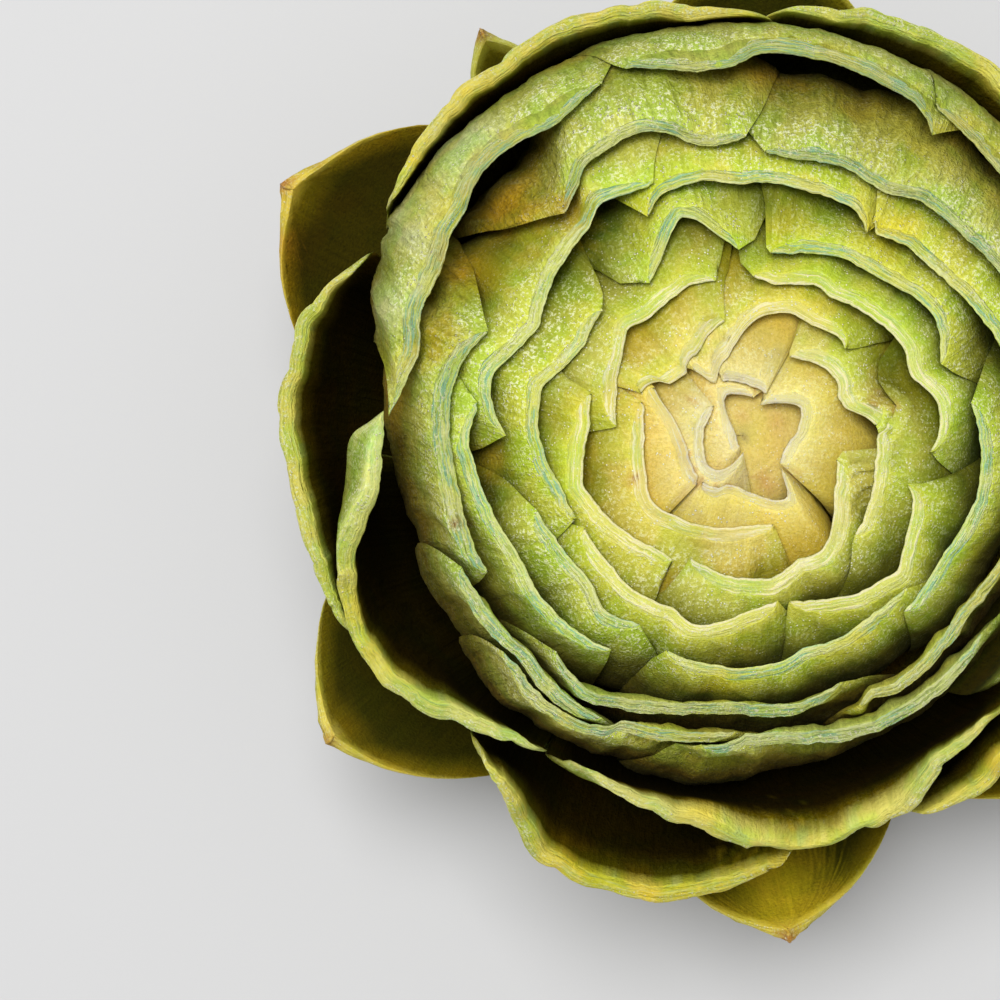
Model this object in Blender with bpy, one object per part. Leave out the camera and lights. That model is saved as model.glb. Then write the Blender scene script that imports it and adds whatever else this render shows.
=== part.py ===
"""Globe artichoke head, cut flat across the top and trimmed to a short stem.

The head is laid out the way it grows.  Every bract is one closed blade in an object of its
own, rooted in a spiral round the fleshy heart, and the heart and its stem stub are one solid.
Bracts follow meridians: curves that leave the heart, swell to the belly of the head and lean
in again towards the cut.  A meridian is named by its "crown", the distance from the axis at
which it reaches the top, and a point on it by its "level", 0 at the root and 1 at the rim.
Bracts are laid on from the inside out, and each keeps clear of everything already there.

Units: millimetres and degrees in the tables, metres in the meshes.  +Z is up, the origin is
the middle of the stem's cut face.
"""
import math
from collections import namedtuple

import bmesh
import bpy
import numpy as np

# ---------------------------------------------------------------- driving dimensions
MM = 0.001                 # metres in a millimetre
CUT_HEIGHT = 71.0          # height of the flat cut across the crown
STEM_RADIUS = 13.0         # trimmed stem, at its cut face
STEM_CHAMFER = 0.6         # worn edge of the stem's cut face
CLEARANCE = 0.38           # free space between neighbouring pieces
# Extra space for each kind of blade, because flat facets bow across curved ones, and more so
# where the meridians fan out.
BOW_ALLOWANCE = {"cut": 0.38, "broad": 0.9, "pointed": 1.15}
EDGE_THICKNESS = 0.55      # blade thickness at the side edges
SETTLING = 1.5             # how much closer a blade lies to the axis below its rim
EDGE_MARGIN = 4.0          # degrees kept free beyond a blade's side edge
COLUMNS = 8                # points across a blade
LATHE_STEPS = 32           # points round the heart and the stem

LEVELS = (0.0, 0.19, 0.41, 0.63, 0.81, 0.93, 1.0)
DIRECTIONS = np.arange(0.0, 360.0, 1.0)

# Meridians.  crown: radius at the top.  root: radius and height where the blade leaves the
# heart.  foot: handle of the curve at the root.  lean: inward lean at the top, in degrees.
# shoulder: handle of the curve at the top.  top: height of the rim.
Meridian = namedtuple("Meridian", "crown root_r root_z foot_r foot_z lean shoulder top")
MERIDIANS = np.array((
    Meridian(0.0, 5.0, 32.0, 1.0, 11.0, 40.0, 12.0, CUT_HEIGHT - 1.5),
    Meridian(8.0, 11.5, 31.2, 2.5, 10.5, 41.0, 13.0, CUT_HEIGHT - 0.8),
    Meridian(18.0, 20.2, 29.0, 7.0, 9.0, 40.0, 17.0, CUT_HEIGHT),
    Meridian(25.0, 23.6, 25.8, 11.5, 7.5, 39.0, 20.0, CUT_HEIGHT),
    Meridian(31.0, 23.8, 22.6, 16.5, 6.5, 37.0, 22.0, CUT_HEIGHT),
    Meridian(38.0, 21.7, 19.4, 23.0, 7.0, 33.0, 23.0, CUT_HEIGHT),
    Meridian(44.0, 19.4, 17.0, 27.5, 8.0, 26.0, 23.0, CUT_HEIGHT - 0.5),
    Meridian(49.0, 17.6, 15.3, 29.5, 6.5, 8.0, 21.0, 66.0),
    Meridian(54.0, 16.2, 13.8, 28.5, 4.5, -10.0, 19.0, 57.0),
    Meridian(60.0, 15.1, 12.0, 27.0, 3.2, -22.0, 18.0, 49.0),
    Meridian(67.0, 14.4, 9.8, 25.0, 2.0, -30.0, 18.0, 42.5),
    Meridian(78.0, 13.8, 6.6, 23.0, 1.4, -35.0, 18.0, 35.0),
))

# Width at each level.  A blade whose top was cut off has the width of its rim times CUT_WAIST
# and so much of its spread on either side.  A whole blade has this part of its full width.
CUT_WAIST = (0.55, 0.85, 1.0, 1.0, 1.0, 1.0, 1.0)
CUT_OPENING = (0.3, 0.7, 1.0, 1.0, 0.9, 0.55, 0.0)
BROAD_OPENING = (0.5, 0.8, 1.0, 1.0, 0.99, 0.96, 0.88)
POINTED_OPENING = (0.55, 0.8, 1.0, 0.88, 0.56, 0.27, 0.06)
# How strongly the rim's own outline shows at each level.
CUT_HOLD = (0.0, 0.0, 0.1, 0.35, 0.7, 0.92, 1.0)
WHOLE_HOLD = (0.0, 0.1, 0.4, 0.75, 0.92, 1.0, 1.0)
# Blade thickness at each level.
CUT_BLADE = (1.1, 1.5, 1.7, 1.7, 1.5, 1.25, 1.1)
WHOLE_BLADE = (1.1, 1.7, 2.2, 2.1, 1.8, 1.4, 1.0)

# ---------------------------------------------------------------- the bracts
# name, rim, cut, spread, lift
# rim: points (direction, distance from the axis) of the blade's inner edge at the top, in
#      order of direction.  cut: width of the cut edge.  spread: how many degrees the blade
#      widens below its rim, before and after it.  lift: height of the rim above its meridian.
Bract = namedtuple("Bract", "name kind rim cut spread lift")


def cut_bract(name, rim, cut, spread=(15, 15), lift=0.0):
    """A blade whose upper part was sliced away with the crown."""
    return Bract(name, "cut", rim, cut, spread, lift)


def broad_bract(name, rim, cut=1.6, spread=(8, 8), lift=0.0):
    """A whole blade with a broad, waved top that stands against the side of the head."""
    return Bract(name, "broad", rim, cut, spread, lift)


def pointed_bract(name, middle, reach, half_width=23.0, lift=0.0):
    """A whole blade at the bottom, cupped, with a pointed tip that leans outwards."""
    cup = 3.5
    rim = ((middle - half_width, reach - cup), (middle - 0.4 * half_width, reach - 0.6),
           (middle + 0.4 * half_width, reach - 0.6), (middle + half_width, reach - cup))
    return Bract(name, "pointed", rim, 1.4, (3, 3), lift)


BRACTS = (
    # the core: small blades folded into a star
    cut_bract("core_bract_1", ((-170, 0.4), (-90, 0.5), (0, 0.5), (90, 0.5), (170, 0.4)), 3.4,
              (2, 2), -1.8),
    cut_bract("core_bract_2", ((76, 4.6), (88, 4.8), (102, 5.1), (113, 5.4), (119, 5.2), (124, 4.0),
                               (130, 2.6), (142, 1.6)), 0.9, (30, 40), -0.3),
    cut_bract("core_bract_3", ((136, 5.0), (150, 4.7), (165, 4.7), (180, 4.8), (195, 5.0),
                               (210, 5.4), (222, 5.7), (232, 5.3), (244, 4.1), (255, 2.9),
                               (268, 2.0)), 1.0, (10, 25)),
    cut_bract("core_bract_4", ((228, 7.5), (241, 6.6), (256, 6.0), (268, 6.4), (280, 7.1),
                               (289, 7.9), (297, 8.7), (304, 9.4), (308, 8.4), (312, 7.0),
                               (318, 5.8)), 1.0, (0, 6)),
    cut_bract("core_bract_5", ((-38, 5.4), (-25, 5.0), (-12, 5.3), (6, 6.4), (18, 7.1), (27, 7.6),
                               (36, 6.5), (45, 5.4), (56, 4.4), (62, 4.0)), 1.0, (3, 10)),
    cut_bract("core_bract_6", ((62, 5.6), (75, 5.9), (90, 5.9), (105, 6.1), (112, 6.6)), 1.0,
              (2, 6)),
    cut_bract("core_bract_7", ((152, 12.2), (163, 9.3), (173, 7.9), (183, 7.2), (196, 6.9),
                               (209, 6.8), (218, 7.1), (226, 7.6)), 1.3, (6, 0)),
    # pale inner blades
    cut_bract("inner_bract_1", ((4, 15.7), (8, 14.9), (14, 12.6), (22, 11.9), (28, 12.8),
                                (37, 12.7), (48, 11.8), (60, 10.8)), 1.8, (16, 10)),
    cut_bract("inner_bract_2", ((41, 15.9), (46, 16.3), (61, 15.3), (69, 15.7), (80, 14.7),
                                (86, 13.5), (93, 11.7), (101, 9.6), (111, 7.5), (117, 7.0),
                                (122, 7.4), (128, 9.8)), 1.5, (12, 14)),
    cut_bract("inner_bract_3", ((162, 13.0), (165, 12.3), (182, 12.0), (199, 12.5), (211, 13.4),
                                (219, 13.6), (231, 12.6), (249, 11.75), (265, 11.0), (280, 10.8),
                                (288, 11.3)), 1.7, (14, 4)),
    cut_bract("inner_bract_4", ((-114, 16.1), (-105, 16.5), (-96, 17.0), (-88, 17.2), (-80, 17.4),
                                (-75, 17.1), (-67, 16.1), (-59, 16.6), (-54, 16.5), (-45, 14.8),
                                (-32, 12.6), (-15, 11.5)), 1.9, (12, 42)),
    cut_bract("inner_bract_5", ((100, 13.9), (111, 12.6), (120, 11.2), (128, 10.2), (136, 10.2),
                                (150, 11.0), (158, 12.2)), 1.5, (12, 8)),
    cut_bract("inner_bract_6", ((-42, 17.8), (-26, 16.8), (-15, 16.1), (-3, 15.8), (5, 16.0)), 1.6,
              (24, 44)),
    cut_bract("inner_bract_7", ((101, 18.9), (110, 19.1), (122, 18.3), (130, 18.0), (137, 19.0),
                                (147, 17.5), (161, 16.2), (172, 15.6), (176, 15.4)), 1.6, (14, 6)),
    cut_bract("inner_bract_8", ((165, 19.0), (178, 18.6), (187, 19.4), (197, 20.3), (206, 19.5),
                                (219, 18.4), (232, 17.2), (240, 17.2)), 1.9, (20, 6)),
    cut_bract("inner_bract_9", ((-5, 22.3), (1, 23.4), (9, 23.5), (14, 22.5), (20, 20.9),
                                (29, 21.8), (38, 21.1), (50, 20.1), (60, 19.3), (63, 20.0),
                                (78, 18.3), (87, 19.0)), 1.7, (10, 10)),
    cut_bract("inner_bract_10", ((210, 22.3), (217, 22.3), (224, 22.4), (234, 22.9), (242, 22.6),
                                 (248, 22.4), (253, 23.4), (256, 23.5), (261, 22.9), (270, 21.2),
                                 (281, 20.2)), 1.8, (10, 8)),
    cut_bract("inner_bract_11", ((-75, 20.6), (-61, 22.2), (-57, 23.1), (-47, 23.8), (-42, 24.6),
                                 (-38, 23.7), (-29, 22.4), (-21, 21.7), (-17, 20.4)), 1.8, (6, 12)),
    # the middle of the head
    cut_bract("middle_bract_1", ((92, 22.2), (98, 24.2), (102, 26.2), (106, 27.4), (111, 25.4),
                                 (115, 23.3), (122, 21.5)), 1.4, (20, 18)),
    cut_bract("middle_bract_2", ((139, 22.7), (152, 22.0), (159, 23.0), (167, 25.0), (178, 24.8),
                                 (187, 24.0), (196, 22.8), (206, 22.6)), 1.6, (14, 10)),
    cut_bract("middle_bract_3", ((200, 26.5), (208, 25.9), (215, 25.6), (224, 25.4), (231, 27.0),
                                 (236, 26.5), (241, 26.0)), 1.6, (14, 14)),
    cut_bract("middle_bract_4", ((-110, 27.5), (-107, 27.7), (-97, 27.8), (-91, 28.0), (-85, 27.7),
                                 (-78, 27.3), (-75, 26.3), (-67, 26.9), (-54, 26.3), (-44, 26.6)),
              1.5, (3, 12)),
    cut_bract("middle_bract_5", ((20, 25.0), (27, 26.2), (32, 26.9), (39, 26.2), (49, 24.7),
                                 (62, 24.2), (75, 22.5), (82, 22.0)), 1.6, (14, 10)),
    cut_bract("middle_bract_6", ((-48, 28.5), (-38, 28.0), (-33, 27.7), (-27, 28.0), (-14, 28.8),
                                 (-2, 28.3), (8, 27.4)), 1.6, (4, 12)),
    cut_bract("middle_bract_7", ((59, 28.4), (64, 30.2), (71, 30.2), (78, 30.2), (85, 30.5),
                                 (91, 30.0), (100, 31.0), (110, 30.5), (114, 28.6)), 1.5, (8, 10)),
    cut_bract("middle_bract_8", ((110, 31.8), (116, 32.2), (122, 32.8), (127, 31.0), (140, 29.7),
                                 (148, 28.5), (152, 27.8), (159, 28.9), (166, 31.0), (170, 31.1),
                                 (174, 30.3), (180, 28.7)), 1.7, (10, 8)),
    cut_bract("middle_bract_9", ((173, 32.0), (178, 32.9), (181, 33.2), (185, 32.7), (194, 31.9),
                                 (208, 30.6), (218, 31.2), (229, 31.0), (238, 30.4)), 1.6,
              (12, 4)),
    cut_bract("middle_bract_10", ((8, 32.6), (19, 32.5), (29, 31.3), (41, 30.0), (50, 29.8),
                                  (59, 28.4)), 1.6, (14, 8)),
    # the crown: the outer blades that the cut went through
    cut_bract("crown_bract_1", ((30, 36.5), (43, 35.4), (49, 35.3), (54, 35.0), (60, 33.4),
                                (70, 34.3), (80, 33.6), (86, 34.0)), 1.6, (14, 10)),
    cut_bract("crown_bract_2", ((90, 35.6), (93, 35.1), (97, 34.8), (100, 35.3), (104, 37.3),
                                (109, 38.6), (115, 38.1), (121, 37.6), (124, 35.8), (129, 34.2)),
              1.6, (8, 20)),
    cut_bract("crown_bract_3", ((158, 33.2), (162, 34.3), (167, 35.2), (173, 35.6), (180, 35.4),
                                (190, 34.9), (203, 35.1), (208, 35.0)), 2.2, (11, 6)),
    cut_bract("crown_bract_4", ((229, 34.5), (235, 35.6), (240, 35.9), (243, 35.1), (252, 33.6),
                                (260, 32.6), (267, 32.0), (282, 32.8), (291, 31.8)), 1.5, (10, 12)),
    cut_bract("crown_bract_5", ((-67, 35.2), (-64, 33.8), (-60, 34.7), (-55, 34.5), (-46, 33.8),
                                (-39, 33.2), (-26, 34.0)), 1.5, (8, 12)),
    cut_bract("crown_bract_6", ((-22, 36.6), (-8, 36.0), (8, 36.4), (22, 37.2), (34, 37.8)), 1.6,
              (10, 10)),
    cut_bract("crown_bract_7", ((205, 37.5), (214, 37.2), (221, 37.0), (226, 36.6), (230, 37.4),
                                (239, 38.0), (243, 38.0)), 1.7, (14, 10)),
    cut_bract("crown_bract_8", ((222, 39.6), (236, 39.4), (251, 38.2), (268, 37.8)), 1.5, (10, 10)),
    cut_bract("crown_bract_9", ((-98, 38.3), (-83, 37.8), (-66, 38.4), (-52, 38.6), (-40, 38.8)),
              1.6, (10, 10)),
    cut_bract("crown_bract_10", ((112, 45.8), (121, 43.5), (130, 44.8), (136, 44.6), (141, 43.0),
                                 (146, 42.7), (151, 41.4), (160, 41.6), (166, 40.0), (174, 40.6)),
              2.2, (6, 10)),
    cut_bract("crown_bract_11", ((58, 42.5), (62, 45.0), (67, 45.4), (76, 46.4), (87, 46.5),
                                 (92, 44.2), (98, 44.0), (108, 46.8)), 2.4, (10, 8)),
    cut_bract("crown_bract_12", ((10, 42.4), (24, 43.2), (38, 43.0), (50, 44.4), (60, 46.0)), 2.0,
              (10, 4)),
    cut_bract("crown_bract_13", ((-42, 42.2), (-30, 42.0), (-14, 42.2), (2, 42.0)), 1.8, (8, 12)),
    # whole blades that stand open against the side of the head
    broad_bract("side_bract_1", ((183, 44.2), (188, 45.6), (196, 49.3), (202, 50.8), (208, 52.1),
                                 (214, 51.2), (220, 49.8), (226, 45.8), (233, 44.5), (241, 44.7))),
    broad_bract("side_bract_2", ((243, 45.7), (252, 44.4), (262, 44.4), (267, 45.2), (270, 49.0),
                                 (277, 50.5), (281, 51.4), (288, 49.3), (294, 47.4), (300, 44.8),
                                 (309, 44.4), (315, 45.4)), spread=(8, 2)),
    broad_bract("side_bract_3", ((91, 51.0), (96, 51.5), (101, 53.0), (105, 54.0), (114, 54.6),
                                 (121, 53.4), (128, 53.4), (136, 52.4), (144, 51.8), (149, 51.4))),
    broad_bract("side_bract_4", ((34, 49.4), (44, 52.4), (55, 55.0), (67, 54.8), (74, 53.8),
                                 (79, 52.2))),
    broad_bract("side_bract_5", ((-60, 47.0), (-50, 50.0), (-38, 52.4), (-26, 51.0), (-15, 48.0))),
    broad_bract("side_bract_6", ((-16, 50.0), (-4, 53.2), (8, 54.4), (20, 53.0), (32, 50.2))),
    broad_bract("side_bract_7", ((155, 50.4), (160, 53.4), (165, 54.9), (171, 54.7), (178, 55.4),
                                 (183, 54.3), (191, 53.3), (201, 53.6), (204, 52.4))),
    broad_bract("side_bract_8", ((229, 49.6), (236, 50.8), (241, 53.4), (245, 56.2), (250, 57.4),
                                 (256, 58.0), (262, 57.0), (267, 55.6), (274, 53.0))),
    # the lowest ring: whole pointed blades, spread outwards
    pointed_bract("lower_bract_1", 121.5, 61.4, 7.0),
    pointed_bract("lower_bract_2", 40, 64.0),
    pointed_bract("lower_bract_3", 318, 64.5),
    pointed_bract("lower_bract_4", 84, 65.0),
    pointed_bract("lower_bract_5", 150, 66.4),
    pointed_bract("lower_bract_6", 217, 65.2),
    pointed_bract("lower_bract_7", 277, 65.4),
    pointed_bract("lower_bract_8", 359, 66.0),
)

# Heart and stem: radius and height of the turned outline, from the cut face up.
HEART_BULGE = (
    (STEM_RADIUS, 5.4),
    (STEM_RADIUS + 0.4, 9.2),
    (STEM_RADIUS + 1.1, 11.6),
    (16.4, 14.6),
    (20.1, 18.3),
    (22.5, 22.2),
    (22.3, 25.1),
    (19.2, 27.8),
    (11.1, 29.9),
    (5.0, 30.7),
)


# ---------------------------------------------------------------- meridians
def meridian_point(crown, level):
    """Radius and height of the point at this level on this meridian; arrays are welcome."""
    column = {name: np.interp(crown, MERIDIANS[:, 0], MERIDIANS[:, index])
              for index, name in enumerate(Meridian._fields)}
    lean = np.radians(column["lean"])
    r_0, z_0 = column["root_r"], column["root_z"]
    r_1, z_1 = r_0 + column["foot_r"], z_0 + column["foot_z"]
    r_3, z_3 = crown, column["top"]
    r_2 = r_3 + column["shoulder"] * np.sin(lean)
    z_2 = z_3 - column["shoulder"] * np.cos(lean)
    a, b = (1 - level) ** 3, 3 * level * (1 - level) ** 2
    c, d = 3 * level ** 2 * (1 - level), level ** 3
    return a * r_0 + b * r_1 + c * r_2 + d * r_3, a * z_0 + b * z_1 + c * z_2 + d * z_3


def spacing(crown, level):
    """Millimetres between two meridians whose crowns are one millimetre apart."""
    step = 0.5
    r_a, z_a = meridian_point(crown - step, level)
    r_b, z_b = meridian_point(crown + step, level)
    r_up, z_up = meridian_point(crown, level + 0.01)
    r_down, z_down = meridian_point(crown, level - 0.01)
    along = np.hypot(r_up - r_down, z_up - z_down)
    across = (r_b - r_a) * (z_up - z_down) - (z_b - z_a) * (r_up - r_down)
    return np.maximum(np.abs(across / along), 0.15)


# ---------------------------------------------------------------- laying on the bracts
def side_edges(bract):
    """First and last direction of a blade at each level."""
    middle = (bract.rim[0][0] + bract.rim[-1][0]) / 2
    half = (bract.rim[-1][0] - bract.rim[0][0]) / 2
    before, after = bract.spread
    if bract.kind == "cut":
        waist, opening = np.array(CUT_WAIST), np.array(CUT_OPENING)
        return middle - half * waist - before * opening, middle + half * waist + after * opening
    opening = np.array(BROAD_OPENING if bract.kind == "broad" else POINTED_OPENING)
    return middle - (half + before) * opening, middle + (half + after) * opening


def blade_thickness(bract, level_index, across):
    """Thickness at one level, thin at both side edges; across runs from -1 to 1."""
    if bract.kind == "cut":
        full = bract.cut if level_index == len(LEVELS) - 1 else CUT_BLADE[level_index]
    else:
        full = WHOLE_BLADE[level_index]
    body = np.clip(1.15 * (1 - across ** 4), 0, 1)
    return EDGE_THICKNESS + (full - EDGE_THICKNESS) * body


def highest_between(values, start, end):
    """Largest of the envelope's values in the directions from start to end."""
    picks = np.arange(math.floor(start), math.ceil(end) + 1) % 360
    return values[picks].max()


def lay_on(bract, envelope):
    """Inner and outer crown of each point of a blade, clear of all that is already laid."""
    first, last = side_edges(bract)
    rim_directions, rim_crowns = np.array(bract.rim).T
    nominal = rim_crowns.mean() - SETTLING
    hold = CUT_HOLD if bract.kind == "cut" else WHOLE_HOLD
    across = np.linspace(-1, 1, COLUMNS)
    directions = first[:, None] + (last - first)[:, None] * (across + 1) / 2
    inner = np.empty_like(directions)
    outer = np.empty_like(directions)
    for index, level in enumerate(LEVELS):
        rows = slice(max(index - 1, 0), index + 2)
        step = (last[index] - first[index]) / (COLUMNS - 1)
        near = np.empty(COLUMNS)
        for column in range(COLUMNS):
            around = directions[rows, max(column - 1, 0):column + 2]
            near[column] = highest_between(envelope[index], around.min(), around.max())
        radius, _ = meridian_point(near, level)
        bow = radius * (1 - math.cos(math.radians(step / 2)))
        gap = (CLEARANCE + BOW_ALLOWANCE[bract.kind] + bow) / spacing(near, level)
        own = np.interp(directions[index], rim_directions, rim_crowns)
        wanted = nominal + (own - nominal) * hold[index]
        inner[index] = np.maximum(wanted, near + gap)
        thickness = blade_thickness(bract, index, across)
        if level < 1.0:
            thickness = thickness / spacing(inner[index], level)
        outer[index] = inner[index] + thickness
    return directions, inner, outer


def raise_envelope(envelope, directions, outer):
    """Let the envelope pass over the back of a blade that was just laid on."""
    count = len(LEVELS)
    for index in range(count):
        rows = range(max(index - 1, 0), min(index + 2, count))
        start = min(directions[row][0] for row in rows) - EDGE_MARGIN
        end = max(directions[row][-1] for row in rows) + EDGE_MARGIN
        covered = np.arange(math.floor(start), math.ceil(end) + 1)
        height = np.interp(covered, directions[index], outer[index])
        np.maximum.at(envelope[index], covered % 360, height)


# ---------------------------------------------------------------- meshes
def blade_points(bract, directions, crowns):
    """World points of one face of a blade, level by level."""
    rows = []
    for index, level in enumerate(LEVELS):
        radius, height = meridian_point(crowns[index], level)
        if level == 1.0:
            height = height + bract.lift
        angle = np.radians(directions[index])
        rows.append(np.stack((radius * np.cos(angle), radius * np.sin(angle), height), axis=1))
    return rows


def build_blade(bract, directions, inner, outer):
    """One closed blade: an inner sheet, an outer sheet and the wall between them."""
    mesh = bpy.data.meshes.new(bract.name)
    shape = bmesh.new()
    sheets = []
    for crowns in (inner, outer):
        rows = blade_points(bract, directions, crowns)
        sheets.append([[shape.verts.new(point * MM) for point in row] for row in rows])
    inside, outside = sheets
    for low in range(len(LEVELS) - 1):
        for left in range(COLUMNS - 1):
            shape.faces.new((outside[low][left], outside[low][left + 1],
                             outside[low + 1][left + 1], outside[low + 1][left]))
            shape.faces.new((inside[low][left + 1], inside[low][left],
                             inside[low + 1][left], inside[low + 1][left + 1]))
    loop_in = rim_loop(inside)
    loop_out = rim_loop(outside)
    for corner in range(len(loop_in)):
        following = (corner + 1) % len(loop_in)
        shape.faces.new((loop_out[following], loop_out[corner],
                         loop_in[corner], loop_in[following]))
    bmesh.ops.recalc_face_normals(shape, faces=shape.faces)
    bmesh.ops.triangulate(shape, faces=shape.faces, quad_method="FIXED")
    shape.to_mesh(mesh)
    shape.free()
    return add_object(bract.name, mesh)


def rim_loop(sheet):
    """The points round a sheet's border, in order."""
    bottom, top = sheet[0], sheet[-1]
    right = [row[-1] for row in sheet[1:-1]]
    left = [row[0] for row in sheet[1:-1]]
    return bottom + right + top[::-1] + left[::-1]


def build_heart():
    """The trimmed stem and the fleshy heart, turned as one solid."""
    outline = [(0.0, 0.0), (STEM_RADIUS - STEM_CHAMFER, 0.0), (STEM_RADIUS, STEM_CHAMFER)]
    outline += [(radius, height) for radius, height in HEART_BULGE]
    outline.append((0.0, 30.9))
    shape = bmesh.new()
    points = [shape.verts.new((radius * MM, 0.0, height * MM)) for radius, height in outline]
    edges = [shape.edges.new(pair) for pair in zip(points, points[1:])]
    bmesh.ops.spin(shape, geom=points + edges, cent=(0, 0, 0), axis=(0, 0, 1),
                   angle=math.tau, steps=LATHE_STEPS, use_merge=True)
    bmesh.ops.remove_doubles(shape, verts=shape.verts, dist=0.01 * MM)
    bmesh.ops.recalc_face_normals(shape, faces=shape.faces)
    mesh = bpy.data.meshes.new("stem_and_heart")
    shape.to_mesh(mesh)
    shape.free()
    return add_object("stem_and_heart", mesh)


def add_object(name, mesh):
    """Link a mesh to the scene as a smooth-shaded object."""
    mesh.shade_smooth()
    mesh.set_sharp_from_angle(angle=math.radians(50))
    piece = bpy.data.objects.new(name, mesh)
    bpy.context.collection.objects.link(piece)
    return piece


# ---------------------------------------------------------------- materials
FINISHES = {
    # name prefix: base colour, roughness
    "core": ((0.78, 0.66, 0.24), 0.62),
    "inner": ((0.55, 0.58, 0.14), 0.6),
    "middle": ((0.36, 0.46, 0.10), 0.6),
    "crown": ((0.28, 0.37, 0.09), 0.62),
    "side": ((0.24, 0.31, 0.08), 0.62),
    "lower": ((0.30, 0.31, 0.08), 0.62),
    "stem": ((0.60, 0.58, 0.30), 0.7),
}


def finish(prefix):
    """The material for one group of pieces, made once."""
    material = bpy.data.materials.get(prefix)
    if material is None:
        colour, roughness = FINISHES[prefix]
        material = bpy.data.materials.new(prefix)
        material.use_nodes = True
        shader = material.node_tree.nodes["Principled BSDF"]
        shader.inputs["Base Color"].default_value = (*colour, 1.0)
        shader.inputs["Roughness"].default_value = roughness
        shader.inputs["Metallic"].default_value = 0.0
    return material


# ---------------------------------------------------------------- the whole head
def main():
    for thing in list(bpy.data.objects):
        bpy.data.objects.remove(thing, do_unlink=True)
    heart = build_heart()
    heart.data.materials.append(finish("stem"))
    envelope = np.zeros((len(LEVELS), len(DIRECTIONS)))
    for bract in BRACTS:
        directions, inner, outer = lay_on(bract, envelope)
        raise_envelope(envelope, directions, outer)
        blade = build_blade(bract, directions, inner, outer)
        blade.data.materials.append(finish(bract.name.split("_")[0]))


main()
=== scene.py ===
import math
from collections import namedtuple
from functools import lru_cache

import bpy
import numpy as np
from bpy.props import FloatProperty, FloatVectorProperty, PointerProperty
from bpy.types import Operator, Panel, PropertyGroup
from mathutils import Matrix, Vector


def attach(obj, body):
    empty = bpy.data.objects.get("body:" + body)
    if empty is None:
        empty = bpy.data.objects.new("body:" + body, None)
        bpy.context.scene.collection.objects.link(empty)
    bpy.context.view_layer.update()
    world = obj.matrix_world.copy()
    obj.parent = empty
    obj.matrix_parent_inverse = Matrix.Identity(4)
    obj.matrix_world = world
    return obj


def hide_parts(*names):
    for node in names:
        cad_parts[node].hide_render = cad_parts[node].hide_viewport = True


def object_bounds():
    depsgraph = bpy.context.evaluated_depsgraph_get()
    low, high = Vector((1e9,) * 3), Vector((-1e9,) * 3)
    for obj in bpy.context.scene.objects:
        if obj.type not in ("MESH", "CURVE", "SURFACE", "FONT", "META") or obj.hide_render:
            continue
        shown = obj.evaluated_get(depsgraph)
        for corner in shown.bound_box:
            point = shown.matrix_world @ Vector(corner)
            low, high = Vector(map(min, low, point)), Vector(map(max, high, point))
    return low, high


bl_info = {
    "name": "Globe Artichoke",
    "version": (1, 0, 0),
    "blender": (4, 5, 0),
    "location": "View3D > Sidebar > Artichoke",
    "description": "A trimmed globe artichoke: bracts, heart and stem, on a pale table",
    "category": "Object",
}

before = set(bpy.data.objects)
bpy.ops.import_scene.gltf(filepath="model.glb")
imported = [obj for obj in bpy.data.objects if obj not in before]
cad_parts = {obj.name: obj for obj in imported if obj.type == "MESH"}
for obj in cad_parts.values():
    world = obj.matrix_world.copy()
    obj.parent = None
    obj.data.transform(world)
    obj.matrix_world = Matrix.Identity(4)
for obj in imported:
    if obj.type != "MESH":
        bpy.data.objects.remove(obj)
CAD_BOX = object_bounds()

# ---------------------------------------------------------------- how the head is laid out
# Millimetres and degrees.  A meridian is a curve that a blade follows from its root on the
# heart to its rim.  It is named by its "crown", the distance from the axis at which it reaches
# the top, and a point on it by its "level", 0 at the root and 1 at the rim.
MM = 0.001
CUT_HEIGHT = 71.0
STEM_RADIUS = 13.0
SETTLING = 1.5

Meridian = namedtuple("Meridian", "crown root_r root_z foot_r foot_z lean shoulder top")
MERIDIANS = np.array((
    Meridian(0.0, 5.0, 32.0, 1.0, 11.0, 40.0, 12.0, CUT_HEIGHT - 1.5),
    Meridian(8.0, 11.5, 31.2, 2.5, 10.5, 41.0, 13.0, CUT_HEIGHT - 0.8),
    Meridian(18.0, 20.2, 29.0, 7.0, 9.0, 40.0, 17.0, CUT_HEIGHT),
    Meridian(25.0, 23.6, 25.8, 11.5, 7.5, 39.0, 20.0, CUT_HEIGHT),
    Meridian(31.0, 23.8, 22.6, 16.5, 6.5, 37.0, 22.0, CUT_HEIGHT),
    Meridian(38.0, 21.7, 19.4, 23.0, 7.0, 33.0, 23.0, CUT_HEIGHT),
    Meridian(44.0, 19.4, 17.0, 27.5, 8.0, 26.0, 23.0, CUT_HEIGHT - 0.5),
    Meridian(49.0, 17.6, 15.3, 29.5, 6.5, 8.0, 21.0, 66.0),
    Meridian(54.0, 16.2, 13.8, 28.5, 4.5, -10.0, 19.0, 57.0),
    Meridian(60.0, 15.1, 12.0, 27.0, 3.2, -22.0, 18.0, 49.0),
    Meridian(67.0, 14.4, 9.8, 25.0, 2.0, -30.0, 18.0, 42.5),
    Meridian(78.0, 13.8, 6.6, 23.0, 1.4, -35.0, 18.0, 35.0),
))

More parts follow.
